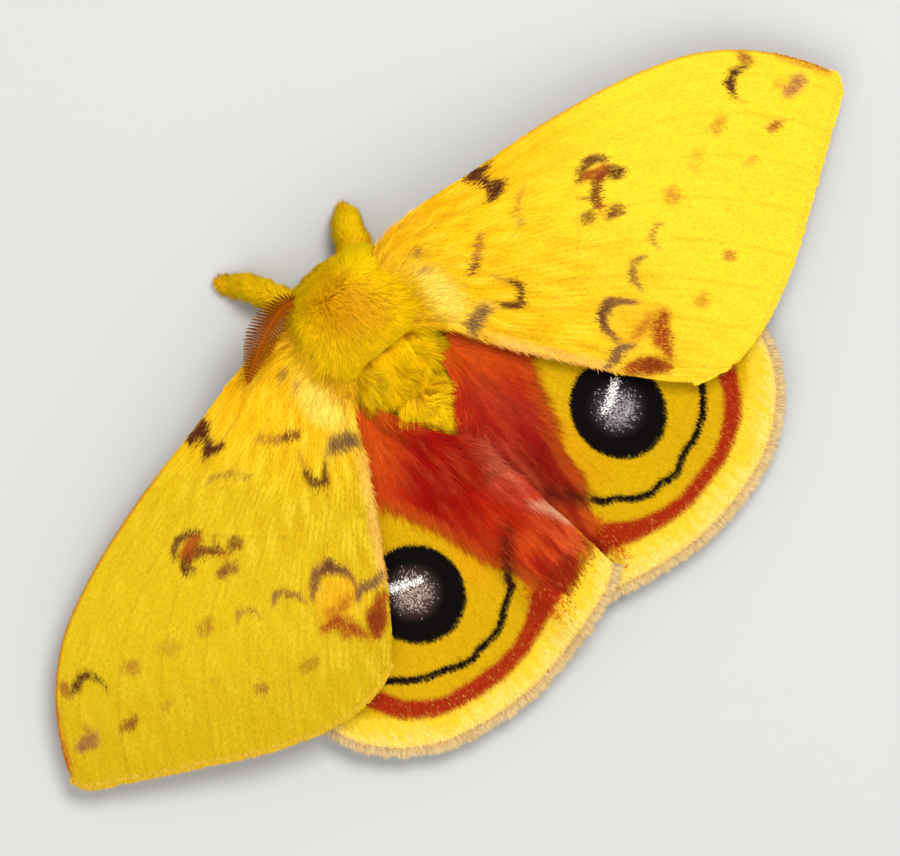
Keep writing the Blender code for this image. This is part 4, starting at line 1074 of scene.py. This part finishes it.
def tube(line, radii, sides=12):
    """A closed round tube along a line."""
    line = np.asarray(line, float)
    ahead = unit(np.gradient(line, axis=0))
    across = unit(np.cross(ahead, (0.0, 0.0, 1.0)))
    rise = np.cross(across, ahead)
    turn = 2 * math.pi * np.arange(sides) / sides
    ring = across[:, None] * np.cos(turn)[:, None] + rise[:, None] * np.sin(turn)[:, None]
    return closed_rings(line[:, None] + ring * np.asarray(radii, float)[:, None, None])


def joined(forms):
    """Several forms as the points and faces of one."""
    first = np.cumsum([0] + [len(points) for points, _ in forms])
    faces = [faces + start for (_, faces), start in zip(forms, first)]
    return np.concatenate([points for points, _ in forms]), np.concatenate(faces)


def body_form(sections, inset, bulge, sides=40):
    """A rounded form through upright ovals, from back to front, drawn in to a point past each end."""
    turn = 2 * math.pi * np.arange(sides) / sides
    rows = np.array(sections)[::-1] - (0.0, 0.0, inset, inset)

    def ring(row, size=1.0, past=0.0):
        y, middle, wide, high = row
        across, up = wide * size * np.cos(turn), middle + high * size * np.sin(turn)
        return np.stack([across, np.full(sides, y + past * wide), up], 1)

    tips = [(0.92, 0.35 * bulge), (0.7, 0.75 * bulge), (0.38, bulge)]
    back = [ring(rows[0], size, -past) for size, past in tips[::-1]]
    front = [ring(rows[-1], size, past) for size, past in tips]
    return closed_rings(back + [ring(row) for row in rows] + front)


def leg_line(name, count=60):
    """A leg's axis as evenly spaced points, its joints a little rounded."""
    points = np.array(LEGS[name])
    run = np.concatenate([[0], np.cumsum(np.linalg.norm(np.diff(points, axis=0), axis=1))])
    even = np.linspace(0, run[-1], count)
    line = np.stack([np.interp(even, run, points[:, k]) for k in range(3)], axis=1)
    for _ in range(3):
        line[1:-1] = (line[:-2] + 2 * line[1:-1] + line[2:]) / 4
    return line


def leg_radius(name, share):
    return np.interp(share, LEG_SHARES, LEG_RADII.get(name, LEG_RADII["other"]))


LEG_LINES = {name: leg_line(name) for name in LEGS}
# How fine the skin is: the size of the cells in which the forms are melted together
SKIN_VOXEL = 0.13
PALP_RADII = [0.2, 0.3, 0.3, 0.3, 0.28, 0.25, 0.2, 0.1]
skin_under_fur = skin_finish("body_skin", 0.4, 5000.0, 0.05)


def melted_skin():
    forms = [body_form(*BODY[part]) for part in BODY]
    for name, line in LEG_LINES.items():
        forms.append(tube(line, leg_radius(name, np.linspace(0, 1, len(line)))))
    for way in (-1, 1):
        forms.append(tube(smooth_line(np.array(PALP) * (way, 1, 1), len(PALP_RADII)), PALP_RADII))
    piece = mesh_piece("skin", *joined(forms), skin_under_fur)
    melt = piece.modifiers.new("melt", "REMESH")
    melt.mode, melt.voxel_size, melt.use_smooth_shade = "VOXEL", SKIN_VOXEL * MM, True
    even = piece.modifiers.new("even", "SMOOTH")
    even.factor, even.iterations = 0.5, 4
    graph = bpy.context.evaluated_depsgraph_get()
    mesh = bpy.data.meshes.new_from_object(piece.evaluated_get(graph))
    piece.modifiers.clear()
    piece.data = mesh
    if not mesh.materials:
        mesh.materials.append(skin_under_fur)
    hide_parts("head", "thorax", "abdomen", *LEGS)
    return piece


skin = melted_skin()


# The fur: long hair-like scales over the body, golden yellow, plush in front, shaggy behind the wings
# and brushed along the forelegs. Each tuft is rooted in the skin and leans the way the coat lies.
def read_skin(mesh):
    """Points in millimetres, point normals and triangles of the skin."""
    mesh.calc_loop_triangles()
    points, normals = np.empty((2, len(mesh.vertices), 3), np.float32)
    corners = np.empty((len(mesh.loop_triangles), 3), np.int32)
    mesh.vertices.foreach_get("co", points.ravel())
    mesh.vertices.foreach_get("normal", normals.ravel())
    mesh.loop_triangles.foreach_get("vertices", corners.ravel())
    return points / MM - (0.0, THORAX_AHEAD, 0.0), normals, corners


PARTS = ["thorax", "head", "abdomen", "foreleg", "leg"]
# How far past its end sections a part still reaches, and how near a leg's axis a point counts as on it
END_REACH, LEG_REACH = 0.7, 0.75


def body_parts(points):
    """For each point, its part's place in PARTS, and the way along the leg and share of it, if on one."""
    levels = []
    for name in ("thorax", "head", "abdomen"):
        sections, inset = BODY[name][:2]
        middle, wide, high = sections_at(sections, points[:, 1])
        level = np.hypot(points[:, 0] / (wide - inset), (points[:, 2] - middle) / (high - inset))
        past = np.maximum(points[:, 1] - sections[0][0], sections[-1][0] - points[:, 1])
        levels.append(np.where(past > END_REACH, np.inf, level + np.maximum(past, 0)))
    levels = np.array(levels)
    part = np.abs(levels - 1).argmin(axis=0)
    way, share = np.zeros_like(points), np.zeros(len(points))
    best = np.full(len(points), LEG_REACH)
    for name, line in LEG_LINES.items():
        gap = np.linalg.norm(points[:, None].astype(np.float32) - line[None].astype(np.float32), axis=2)
        nearest = gap.argmin(axis=1)
        reach = gap.min(axis=1)
        on_leg = (reach < best) & (levels.min(axis=0) > 1.1)
        best[on_leg] = reach[on_leg]
        part[on_leg] = 3 if "front" in name else 4
        way[on_leg] = unit(np.gradient(line, axis=0))[nearest[on_leg]]
        share[on_leg] = nearest[on_leg] / (len(line) - 1)
    return part, way, share


# Painted shade in the hollows of the coat, partly browner hair there: line, width and strength
BODY_SHADES = [
    ([(-2.5, 2.7), (-2.7, 2.1)], 0.2, 0.6), ([(-2.6, -0.3), (-2.7, -1.1)], 0.2, 0.7),
    ([(-3.2, -1.6), (-3.2, -2.2), (-2.9, -3.4)], 0.4, 0.8),
    ([(-2.4, -3.6), (-2.0, -4.8)], 0.3, 0.5), ([(2.9, -2.4), (2.9, -3.6)], 0.4, 0.6),
    ([(-0.7, -4.4), (0.2, -5.3), (1.2, -5.8), (1.9, -5.5)], 0.3, 0.7),
    ([(-0.9, -7.0), (-0.2, -7.8), (0.4, -7.9)], 0.3, 0.5),
    ([(0.1, -2.9), (0.5, -3.9), (0.1, -4.8)], 0.2, 0.4), ([(-1.6, -2.6), (-1.5, -3.8)], 0.2, 0.35),
]


def body_tint(points, part, share):
    x, y, z = points.T
    cloud = patches(x, y, 2.0, 61)
    tint = plain((241, 197, 2), len(x))
    tint = lay(tint, (255, 217, 6), smoothstep(np.abs(x), 0.6, 2.4) * 0.8)
    tint = lay(tint, (226, 150, 2), spot(x, y, (0.3, 1.7), (2.2, 1.3), -20.0, 0.7) * 0.4)
    tint = lay(tint, (255, 212, 12), (1 - smoothstep(y, -2.6, -1.8)) * 0.9)
    # A broken dark line along the crease behind the thorax: painted shade in the groove, partly brown
    # strands
    crease = stroke(x, y, [(-2.6, -2.3), (-1.2, -1.9), (0.0, -1.8), (1.2, -1.9), (2.6, -2.3)], 0.35, 0.15)
    dashes = 0.3 + 0.6 * smoothstep(patches(x, y, 0.5, 89), 0.4, 0.6)
    tint = lay(tint, (144, 76, 4), crease * (part == 0) * dashes)
    tint = lay(tint, (230, 168, 2), cloud * 0.4)
    tint = lay(tint, (250, 206, 10), (part == 2) * 0.8)
    tint = lay(tint, (236, 158, 14), (1 - smoothstep(z, 2.0, 3.6)) * (part < 3) * 0.6)
    # Painted shade in the coat's hollows, partly browner hair
    for line, width, strength in BODY_SHADES:
        tint = lay(tint, (150, 84, 8), stroke(x, y, line, width, 0.25) * (part != 3) * strength)
    tint = lay(tint, (255, 210, 8), (part == 3) * 0.9)
    tint = lay(tint, (250, 178, 8), (part == 3) * smoothstep(share, 0.85, 1.0) * 0.5)
    tint = lay(tint, (226, 160, 30), (part == 4) * 0.8)
    return lay(tint, (170, 104, 40), (part == 4) * smoothstep(share, 0.75, 0.85) * 0.5)


# The way that the long hair at the right shoulder is brushed, over the root of the antenna
SHOULDER_WAY = (0.8, 0.45, 0.0)


def coat_lie(points, normals, part, way):
    """The way the coat leans: back over the body, out over the wing roots, ahead over the head, and down."""
    x, y, z = points.T
    side = np.sign(x) * smoothstep(np.abs(x), 1.4, 3.0)
    outward = 2.2 - 1.2 * smoothstep(-y, 0.6, 2.2) - 1.4 * smoothstep(-y, 4.0, 5.4)
    back = np.stack([outward * side, -np.ones(len(x)), 0.5 * smoothstep(y, 2.4, 3.2)], axis=1)
    face = np.stack([0.3 * x, 0.6 * np.ones(len(x)), -0.8 * np.ones(len(x))], axis=1)
    crest = np.stack([0.25 * x, np.ones(len(x)), 0.35 * np.ones(len(x))], axis=1)
    ahead, down = smoothstep(y, 3.1, 3.5)[:, None], (1 - smoothstep(z, 4.4, 5.6))[:, None]
    front = (1 - down) * crest + down * face
    lie = np.where((part >= 3)[:, None], way, (1 - ahead) * back + ahead * front)
    lie = lie + 2.5 * right_shoulder(points)[:, None] * (part < 3)[:, None] * SHOULDER_WAY
    lie = lie - normals * (lie * normals).sum(axis=1, keepdims=True)
    return unit(lie + 0.05 * normals)


def right_shoulder(points):
    """1 where long hair covers the root of the right antenna, which is tucked under the wing."""
    x, y, z = points.T
    return smoothstep(x, 1.6, 2.4) * smoothstep(y, 1.4, 2.4) * smoothstep(z, 4.8, 5.6)


# How each part is furred: tufts, length, width, lean away from the skin, how far the tips of a clump draw
# together, how large a clump is, and the shortest tuft as a share of the length
FUR = {
    "thorax": (48000, 1.3, 0.075, 0.52, 0.22, 0.46, 0.6), "head": (13000, 0.65, 0.075, 0.85, 0.1, 0.4, 0.7),
    "abdomen": (12500, 1.3, 0.08, 0.5, 0.38, 0.46, 0.7), "foreleg": (21000, 0.5, 0.06, 1.15, 0.3, 0.2, 0.7),
    "leg": (8500, 0.45, 0.08, 0.6, 0.0, 0.4, 0.7),
}
# Where the coat turns from lying back to lying ahead, and the bare rim round an eye
TURN_AT, EYE_RIM = 3.25, 0.3
# The long hair at the right shoulder: its length, and its lean away from the skin
SHOULDER_LENGTH, SHOULDER_LIFT = 1.5, 0.45
# The unwrap is a tube: its axis's height, its back end, and its length
AXIS_HEIGHT, BACK_END, BODY_LENGTH = 4.5, 15.0, 25.0
# How deep in the skin a tuft starts
ROOT_DEPTH = 0.04
fur_finish = tuft_finish("golden_fur", 0.78, 0.36, 0.05, 0.55, 0.4)


def crowding(name, places):
    """How closely tufts stand: thin below and behind, thick where the coat turns, none round the eyes."""
    x, y, z = places.T
    if name == "foreleg":
        return np.ones(len(places))
    if name == "leg":
        return 1 + smoothstep(-z, -2.0, -0.5)
    close = (0.35 + 0.65 * smoothstep(z, 3.0, 5.0)) * (1 - 0.7 * smoothstep(-y, 9.8, 10.6))
    close = close * (1 + 1.6 * np.exp(-(((y - TURN_AT) / 0.45) ** 2)) * (z > 5.8))
    for way in (-1, 1):
        gap = np.linalg.norm(places - (way * EYE_AT[0], EYE_AT[1], EYE_AT[2]), axis=1)
        close = close * (gap > EYE_RADIUS + EYE_RIM)
    return close


def rooted(name, skin_net, count, draw):
    """Random places on the skin of one part, with the way out of it at each."""
    points, normals, corners, areas, part_of_corner = skin_net
    a, b, c = points[corners[:, 0]], points[corners[:, 1]], points[corners[:, 2]]
    weights = areas * (part_of_corner == PARTS.index(name)) * crowding(name, a)
    chosen = draw.choice(len(corners), count, p=weights / weights.sum())
    u, v = draw.random((2, count, 1))
    flip = u + v > 1
    u, v = np.where(flip, 1 - u, u), np.where(flip, 1 - v, v)
    return a[chosen] + u * (b - a)[chosen] + v * (c - a)[chosen], unit(normals[corners[chosen]].mean(axis=1))


def clumps(roots, size):
    """The clump that each tuft belongs to, and how many tufts each clump has."""
    cell = np.floor((roots + 0.3 * np.sin(roots[:, [1, 2, 0]] * 3.3)) / size).astype(np.int64)
    clump = np.unique(cell @ np.array([1, 1000, 1000000]), return_inverse=True)[1]
    return clump, np.bincount(clump)


def groom_thorax(roots, length, lift, swirl, draw):
    """Ragged flanks, short at the crease, upright where the coat turns, and a skirt over the red hair."""
    x, y, z = roots.T
    beside, behind, shoulder = np.abs(x), -y, right_shoulder(roots)
    flank = smoothstep(beside, 1.8, 3.0) * (1 - smoothstep(y, 2.6, 3.4))
    flank *= 1 - 0.6 * smoothstep(behind, 1.0, 2.4)
    length *= 1 + (0.3 + 0.6 * patches(y, z, 0.5, 73)) * flank - 0.25 * smoothstep(y, 0.5, 2.5)
    length *= 1 - 0.3 * smoothstep(y, 2.4, 3.2)
    crease = y + 1.7 + 0.55 * (patches(x, 0 * x, 0.9, 83) - 0.5) + 0.06 * x**2
    to_crease = np.where(crease > 0, 0.25 + 1.1 * crease, 0.35 + 3.0 * np.maximum(-crease - 0.15, 0))
    length = np.where(beside < 2.5, np.minimum(length, to_crease), length)
    length += (SHOULDER_LENGTH - length) * shoulder
    turning = np.exp(-(((y - TURN_AT) / 0.6) ** 2))
    length *= 1 + 0.3 * turning
    lift += 0.2 * smoothstep(y, 0.5, 2.5) + 0.45 * turning + 0.1 * smoothstep(behind, 1.6, 3.0)
    lift += 0.28 * flank * smoothstep(z, 6.2, 7.0)
    skirt = smoothstep(beside, 1.1, 1.9) * smoothstep(behind, 2.4, 3.2) * (1 - smoothstep(behind, 4.8, 5.4))
    lift += 0.4 * skirt
    length *= 1 + 0.12 * skirt
    swirl = (swirl + draw.normal(0, 1.1, len(x)) * turning) * (1 - 0.9 * shoulder)
    return length, lift + (SHOULDER_LIFT - lift) * shoulder, swirl


def groom_abdomen(roots, length, lift):
    """Longer and raised along the middle, shorter beside it, where the hindwings lie over it."""
    beside, behind = np.abs(roots[:, 0]), -roots[:, 1]
    bare = 1 - smoothstep(behind, 9.4, 10.2)
    high = smoothstep(-behind, -8.5, -6.0) * (1 - smoothstep(beside, 0.7, 1.5))
    length *= 1 + 0.25 * bare + 0.5 * high
    length *= 1 - 0.45 * smoothstep(beside, 0.6, 1.2) * smoothstep(behind, 5.4, 6.4)
    return length, lift + (0.3 * bare + 0.12 * high)


def fur(mesh, seed):
    draw = np.random.default_rng(seed)
    points, normals, corners = read_skin(mesh)
    part_of_corner = body_parts(points)[0][corners[:, 0]]
    a, b, c = points[corners[:, 0]], points[corners[:, 1]], points[corners[:, 2]]
    skin_net = (points, normals, corners, np.linalg.norm(np.cross(b - a, c - a), axis=1), part_of_corner)
    for order, name in enumerate(PARTS):
        count, base_length, base_width, lean, draw_in, clump_size, shortest = FUR[name]
        roots, up = rooted(name, skin_net, count, draw)
        _, way, share = body_parts(roots)
        part = np.full(count, order)
        x, y, z = roots.T
        rear = smoothstep(-y, 1.6, 3.0)
        clump, held = clumps(roots, clump_size)
        loose = (rear if name in ("thorax", "abdomen") else 0.0) + 0.15
        swirl = loose * (draw.normal(0, 0.2, len(held))[clump] + 2.4 * (patches(x, y, 1.3, 67) - 0.5))
        length = base_length * draw.uniform(shortest, 1.15, count)
        lift = lean + draw.normal(0, 0.12, count)
        gather = np.full(count, draw_in)
        if name == "thorax":
            length, lift, swirl = groom_thorax(roots, length, lift, swirl, draw)
            gather += 0.22 * rear
        elif name == "abdomen":
            length, lift = groom_abdomen(roots, length, lift)
        elif name == "foreleg":
            length *= 0.7 + 0.65 * patches(x + z, y - x, 0.45, 79)
            length *= np.interp(share, [0.0, 0.5, 1.0], [0.9, 1.15, 1.0])
        elif name == "leg":
            length *= np.interp(share, [0.0, 0.3, 0.6, 0.75, 1.0], [2.2, 1.8, 1.3, 0.5, 0.4])
        tint = body_tint(roots, part, share)
        lie = coat_lie(roots, up, part, way)
        tousle = draw.normal(0, 0.5 if name == "foreleg" else 0.16, count) + swirl
        lie = turned(lie, np.cross(up, lie), tousle)
        tips = roots + unit(lie * np.cos(lift)[:, None] + up * np.sin(lift)[:, None]) * length[:, None]
        middle = np.stack([np.bincount(clump, weights=tips[:, k]) / held for k in range(3)], axis=1)[clump]
        tips += (middle - tips) * (gather * (held > 3)[clump])[:, None]
        ahead, length = unit(tips - roots), np.linalg.norm(tips - roots, axis=1)
        tint = tint * (1 + (0.12 + 0.16 * rear) * (draw.random(len(held))[clump] - 0.5))[:, None]
        bend = length * draw.uniform(0.06, 0.14, count)
        width = base_width * draw.uniform(0.7, 1.3, count)
        angle = np.arctan2(z - AXIS_HEIGHT, x) / (2 * math.pi) + 0.5
        unwrap = 0.02 + 0.96 * np.stack([angle, (y + BACK_END) / BODY_LENGTH], axis=1)
        tufts("fur_" + name, roots - up * ROOT_DEPTH, ahead, up, length, width, bend, bend * 0.3, tint,
              unwrap, fur_finish, draw)


# The skin is painted darker and warmer than the hair on it, as painted shade, because it shows only between
# tufts
SKIN_SHADE = (0.72, 0.46, 0.3)


def paint_skin(mesh):
    points = read_skin(mesh)[0]
    part, _, share = body_parts(points)
    # The skin's colours take the painted shade of SKIN_SHADE
    paint(mesh, body_tint(points, part, share) * SKIN_SHADE)


paint_skin(skin.data)
fur(skin.data, 700)


# The antennae: in a male each is a stem with two rows of fine side branches, like a feather, which
# catch scent. They are bare horn, orange-brown, socketed between the eye and the front of the head.
ANTENNAE = {
    "antenna_left": [(-0.8, 3.8, 5.0), (-1.6, 3.85, 6.2), (-2.7, 4.3, 7.1), (-4.5, 3.9, 8.0),
                     (-6.3, 3.05, 8.1), (-7.8, 2.2, 7.8)],
    "antenna_right": [(0.8, 4.0, 5.0), (2.2, 4.0, 5.6), (4.3, 2.9, 5.4), (6.6, 2.2, 5.2), (8.4, 1.7, 5.0)],
}
# Reach of the side branches at shares of each stem, in front and behind: the right ones are pressed down
# where hair and wing cover them
BRANCH_REACH = {
    "antenna_left": ([0.1, 0.2, 0.3, 0.44, 0.62, 0.78, 0.9, 1.0],
                     [0.2, 0.4, 0.85, 1.15, 1.25, 0.9, 0.5, 0.1],
                     [0.2, 0.3, 0.6, 0.85, 1.0, 0.75, 0.4, 0.1]),
    "antenna_right": ([0.1, 0.3, 0.5, 0.7, 0.9, 1.0], [0.2, 0.3, 0.4, 0.7, 0.6, 0.15],
                      [0.2, 0.4, 0.7, 0.8, 0.6, 0.15]),
}


def antenna_finish():
    made, nodes, links, shader = finish("antenna_horn", (170, 92, 14), 0.5, specular=0.03)
    reach = place(nodes, "ShaderNodeAttribute", attribute_name="reach")
    ramp = nodes.new("ShaderNodeValToRGB")
    ramp.color_ramp.elements[0].color = (*linear(144, 70, 2), 1.0)
    ramp.color_ramp.elements[1].color = (*linear(84, 36, 0), 1.0)
    links.new(reach.outputs["Fac"], ramp.inputs["Fac"])
    mottled(nodes, links, shader, ramp.outputs["Color"], 0.35, 6000.0, 0.5, 0.02)
    return made


antenna_horn = antenna_finish()
setae_finish = tuft_finish("antenna_setae", 0.8, 0.3, 0.05, 0.5)
# How many points the stem's line has, and its radii: shares of its length, and the radius at each
STEM_POINTS = 90
STEM_RADII = ([0, 0.05, 0.1, 1], [0.22, 0.24, 0.13, 0.06])
BRANCH_RADII = [0.055, 0.055, 0.05, 0.045, 0.035, 0.018]
# Each place on the stem has two branches a side: how far they sweep ahead, and how far their tips drop
BRANCH_PAIR = ((0.2, -0.1), (0.24, -0.4))
# How many setae stand on each branch
SETAE = 18


def antenna(name, seed, branches=37):
    """The stem, its side branches, and the setae between them."""
    draw = np.random.default_rng(seed)
    line = smooth_line(ANTENNAE[name], STEM_POINTS)
    forms = [tube(line, np.interp(np.linspace(0, 1, STEM_POINTS), *STEM_RADII), 8)]
    reach = [np.zeros(len(forms[0][0]))]
    tangent = unit(np.gradient(line, axis=0))
    roots, aims, ups, shares = [], [], [], []
    for k in range(branches):
        share = 0.1 + 0.89 * k / branches
        at, ahead = along(line, share), unit(along(tangent, share))
        side = unit(np.cross(ahead, (0.0, 0.0, 1.0)))
        rise = np.cross(side, ahead)
        shares_known, in_front, behind = BRANCH_REACH[name]
        for way in (-1, 1):
            before = way * side[1] > 0
            length = np.interp(share, shares_known, in_front if before else behind)
            for pair, (sweep, fall) in enumerate(BRANCH_PAIR):
                steps = np.linspace(0, 1, len(BRANCH_RADII))[:, None]
                size = length * (1 - 0.1 * pair) * draw.uniform(0.95, 1.05)
                branch = at + way * side * size * steps + ahead * (size * sweep * steps**1.5 + 0.09 * pair)
                branch = branch + rise * size * (fall * steps**2 + 0.12 * steps)
                forms.append(tube(branch, BRANCH_RADII, 5))
                tone = np.sqrt(steps[:, 0]) * (1.0 if before else 0.5)
                reach.append(np.append(np.repeat(tone, 5), [0.0, tone[-1]]))
                spots = draw.uniform(0.1, 1.0, SETAE)
                roots.append(along(branch, spots))
                aims.append(unit(ahead * draw.choice([-1.0, 1.0], SETAE)[:, None] + 0.7 * way * side))
                ups.append(np.tile(rise, (SETAE, 1)))
                shares.append(np.stack([np.full(SETAE, share), 0.5 + 0.45 * way * spots], axis=1))
    piece = mesh_piece("comb_" + name, *joined(forms), antenna_horn, reach=np.concatenate(reach))
    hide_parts(name)
    roots, aims, ups, shares = (np.concatenate(parts) for parts in (roots, aims, ups, shares))
    count = len(roots)
    flat = np.full(count, 0.01)
    tint = lay(plain((228, 156, 10), count), (168, 92, 4), draw.random(count))
    length, width = draw.uniform(0.12, 0.2, count), np.full(count, 0.025)
    tufts("setae_" + name, roots, aims, ups, length, width, flat, flat, tint, 0.02 + 0.96 * shares,
          setae_finish, draw)


antenna("antenna_left", 800)
antenna("antenna_right", 801)


# The eyes: two dark domes of some thousands of hexagonal lenses each, set in the sides of the head
# behind the antennae. The fur grows up to their rims.
def eye_finish():
    made, nodes, links, shader = finish("eye_lenses", (24, 15, 12), 0.2, specular=0.35)
    coordinates = nodes.new("ShaderNodeTexCoord")
    cells = place(nodes, "ShaderNodeTexVoronoi", feature="DISTANCE_TO_EDGE", scale=14000.0)
    links.new(coordinates.outputs["Object"], cells.inputs["Vector"])
    bump = place(nodes, "ShaderNodeBump", strength=0.5)
    bump.inputs["Distance"].default_value = 0.02 * MM
    links.new(cells.outputs["Distance"], bump.inputs["Height"])
    mottled(nodes, links, shader, (26, 16, 12), 0.6, 1500.0, 0.2, 0.0)
    links.new(bump.outputs["Normal"], shader.inputs["Normal"])
    return made


eye_lenses = eye_finish()


def eye(name, way, sides=64, rows=40):
    steps = np.linspace(0.02, math.pi - 0.02, rows)
    turn = 2 * math.pi * np.arange(sides) / sides
    ring = np.stack([np.cos(turn), np.zeros(sides), np.sin(turn)], axis=1)
    centre = np.array((way * EYE_AT[0], EYE_AT[1], EYE_AT[2]))
    rings = [centre + EYE_RADIUS * (math.sin(a) * ring + (0.0, -math.cos(a), 0.0)) for a in steps]
    piece = mesh_piece("dome_" + name, *closed_rings(rings), eye_lenses)
    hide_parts(name)


eye("eye_left", -1)
eye("eye_right", 1)


# The claws: each foot ends in a pair of curved hooks of dark horn, which hold on to bark and leaves.
def claw_finish():
    made, nodes, links, shader = finish("claw_horn", (60, 34, 18), 0.35)
    mottled(nodes, links, shader, (64, 36, 18), 0.4, 9000.0, 0.35, 0.01)
    return made


CLAW_RADII = [0.055, 0.052, 0.046, 0.038, 0.03, 0.02, 0.008]


def claws():
    forms = []
    for line in LEG_LINES.values():
        toe, ahead = line[-1] - (0.0, 0.0, 0.14), unit(line[-1] - line[-4])
        ahead = unit(ahead * (1.0, 1.0, 0.0))
        side, toe = np.cross(ahead, (0.0, 0.0, 1.0)), toe - 0.1 * ahead
        for way in (-1, 1):
            steps = np.linspace(0, 1, len(CLAW_RADII))[:, None]
            hook = toe + way * side * (0.06 + 0.14 * steps) + ahead * 0.24 * np.sin(1.9 * steps)
            hook = hook + (0.0, 0.0, 1.0) * (0.02 * np.sin(3.0 * steps) - 0.24 * steps**2)
            hook[:, 2] = np.maximum(hook[:, 2], 0.03)
            forms.append(tube(hook, CLAW_RADII, 6))
    piece = mesh_piece("claws", *joined(forms), claw_finish())


claws()
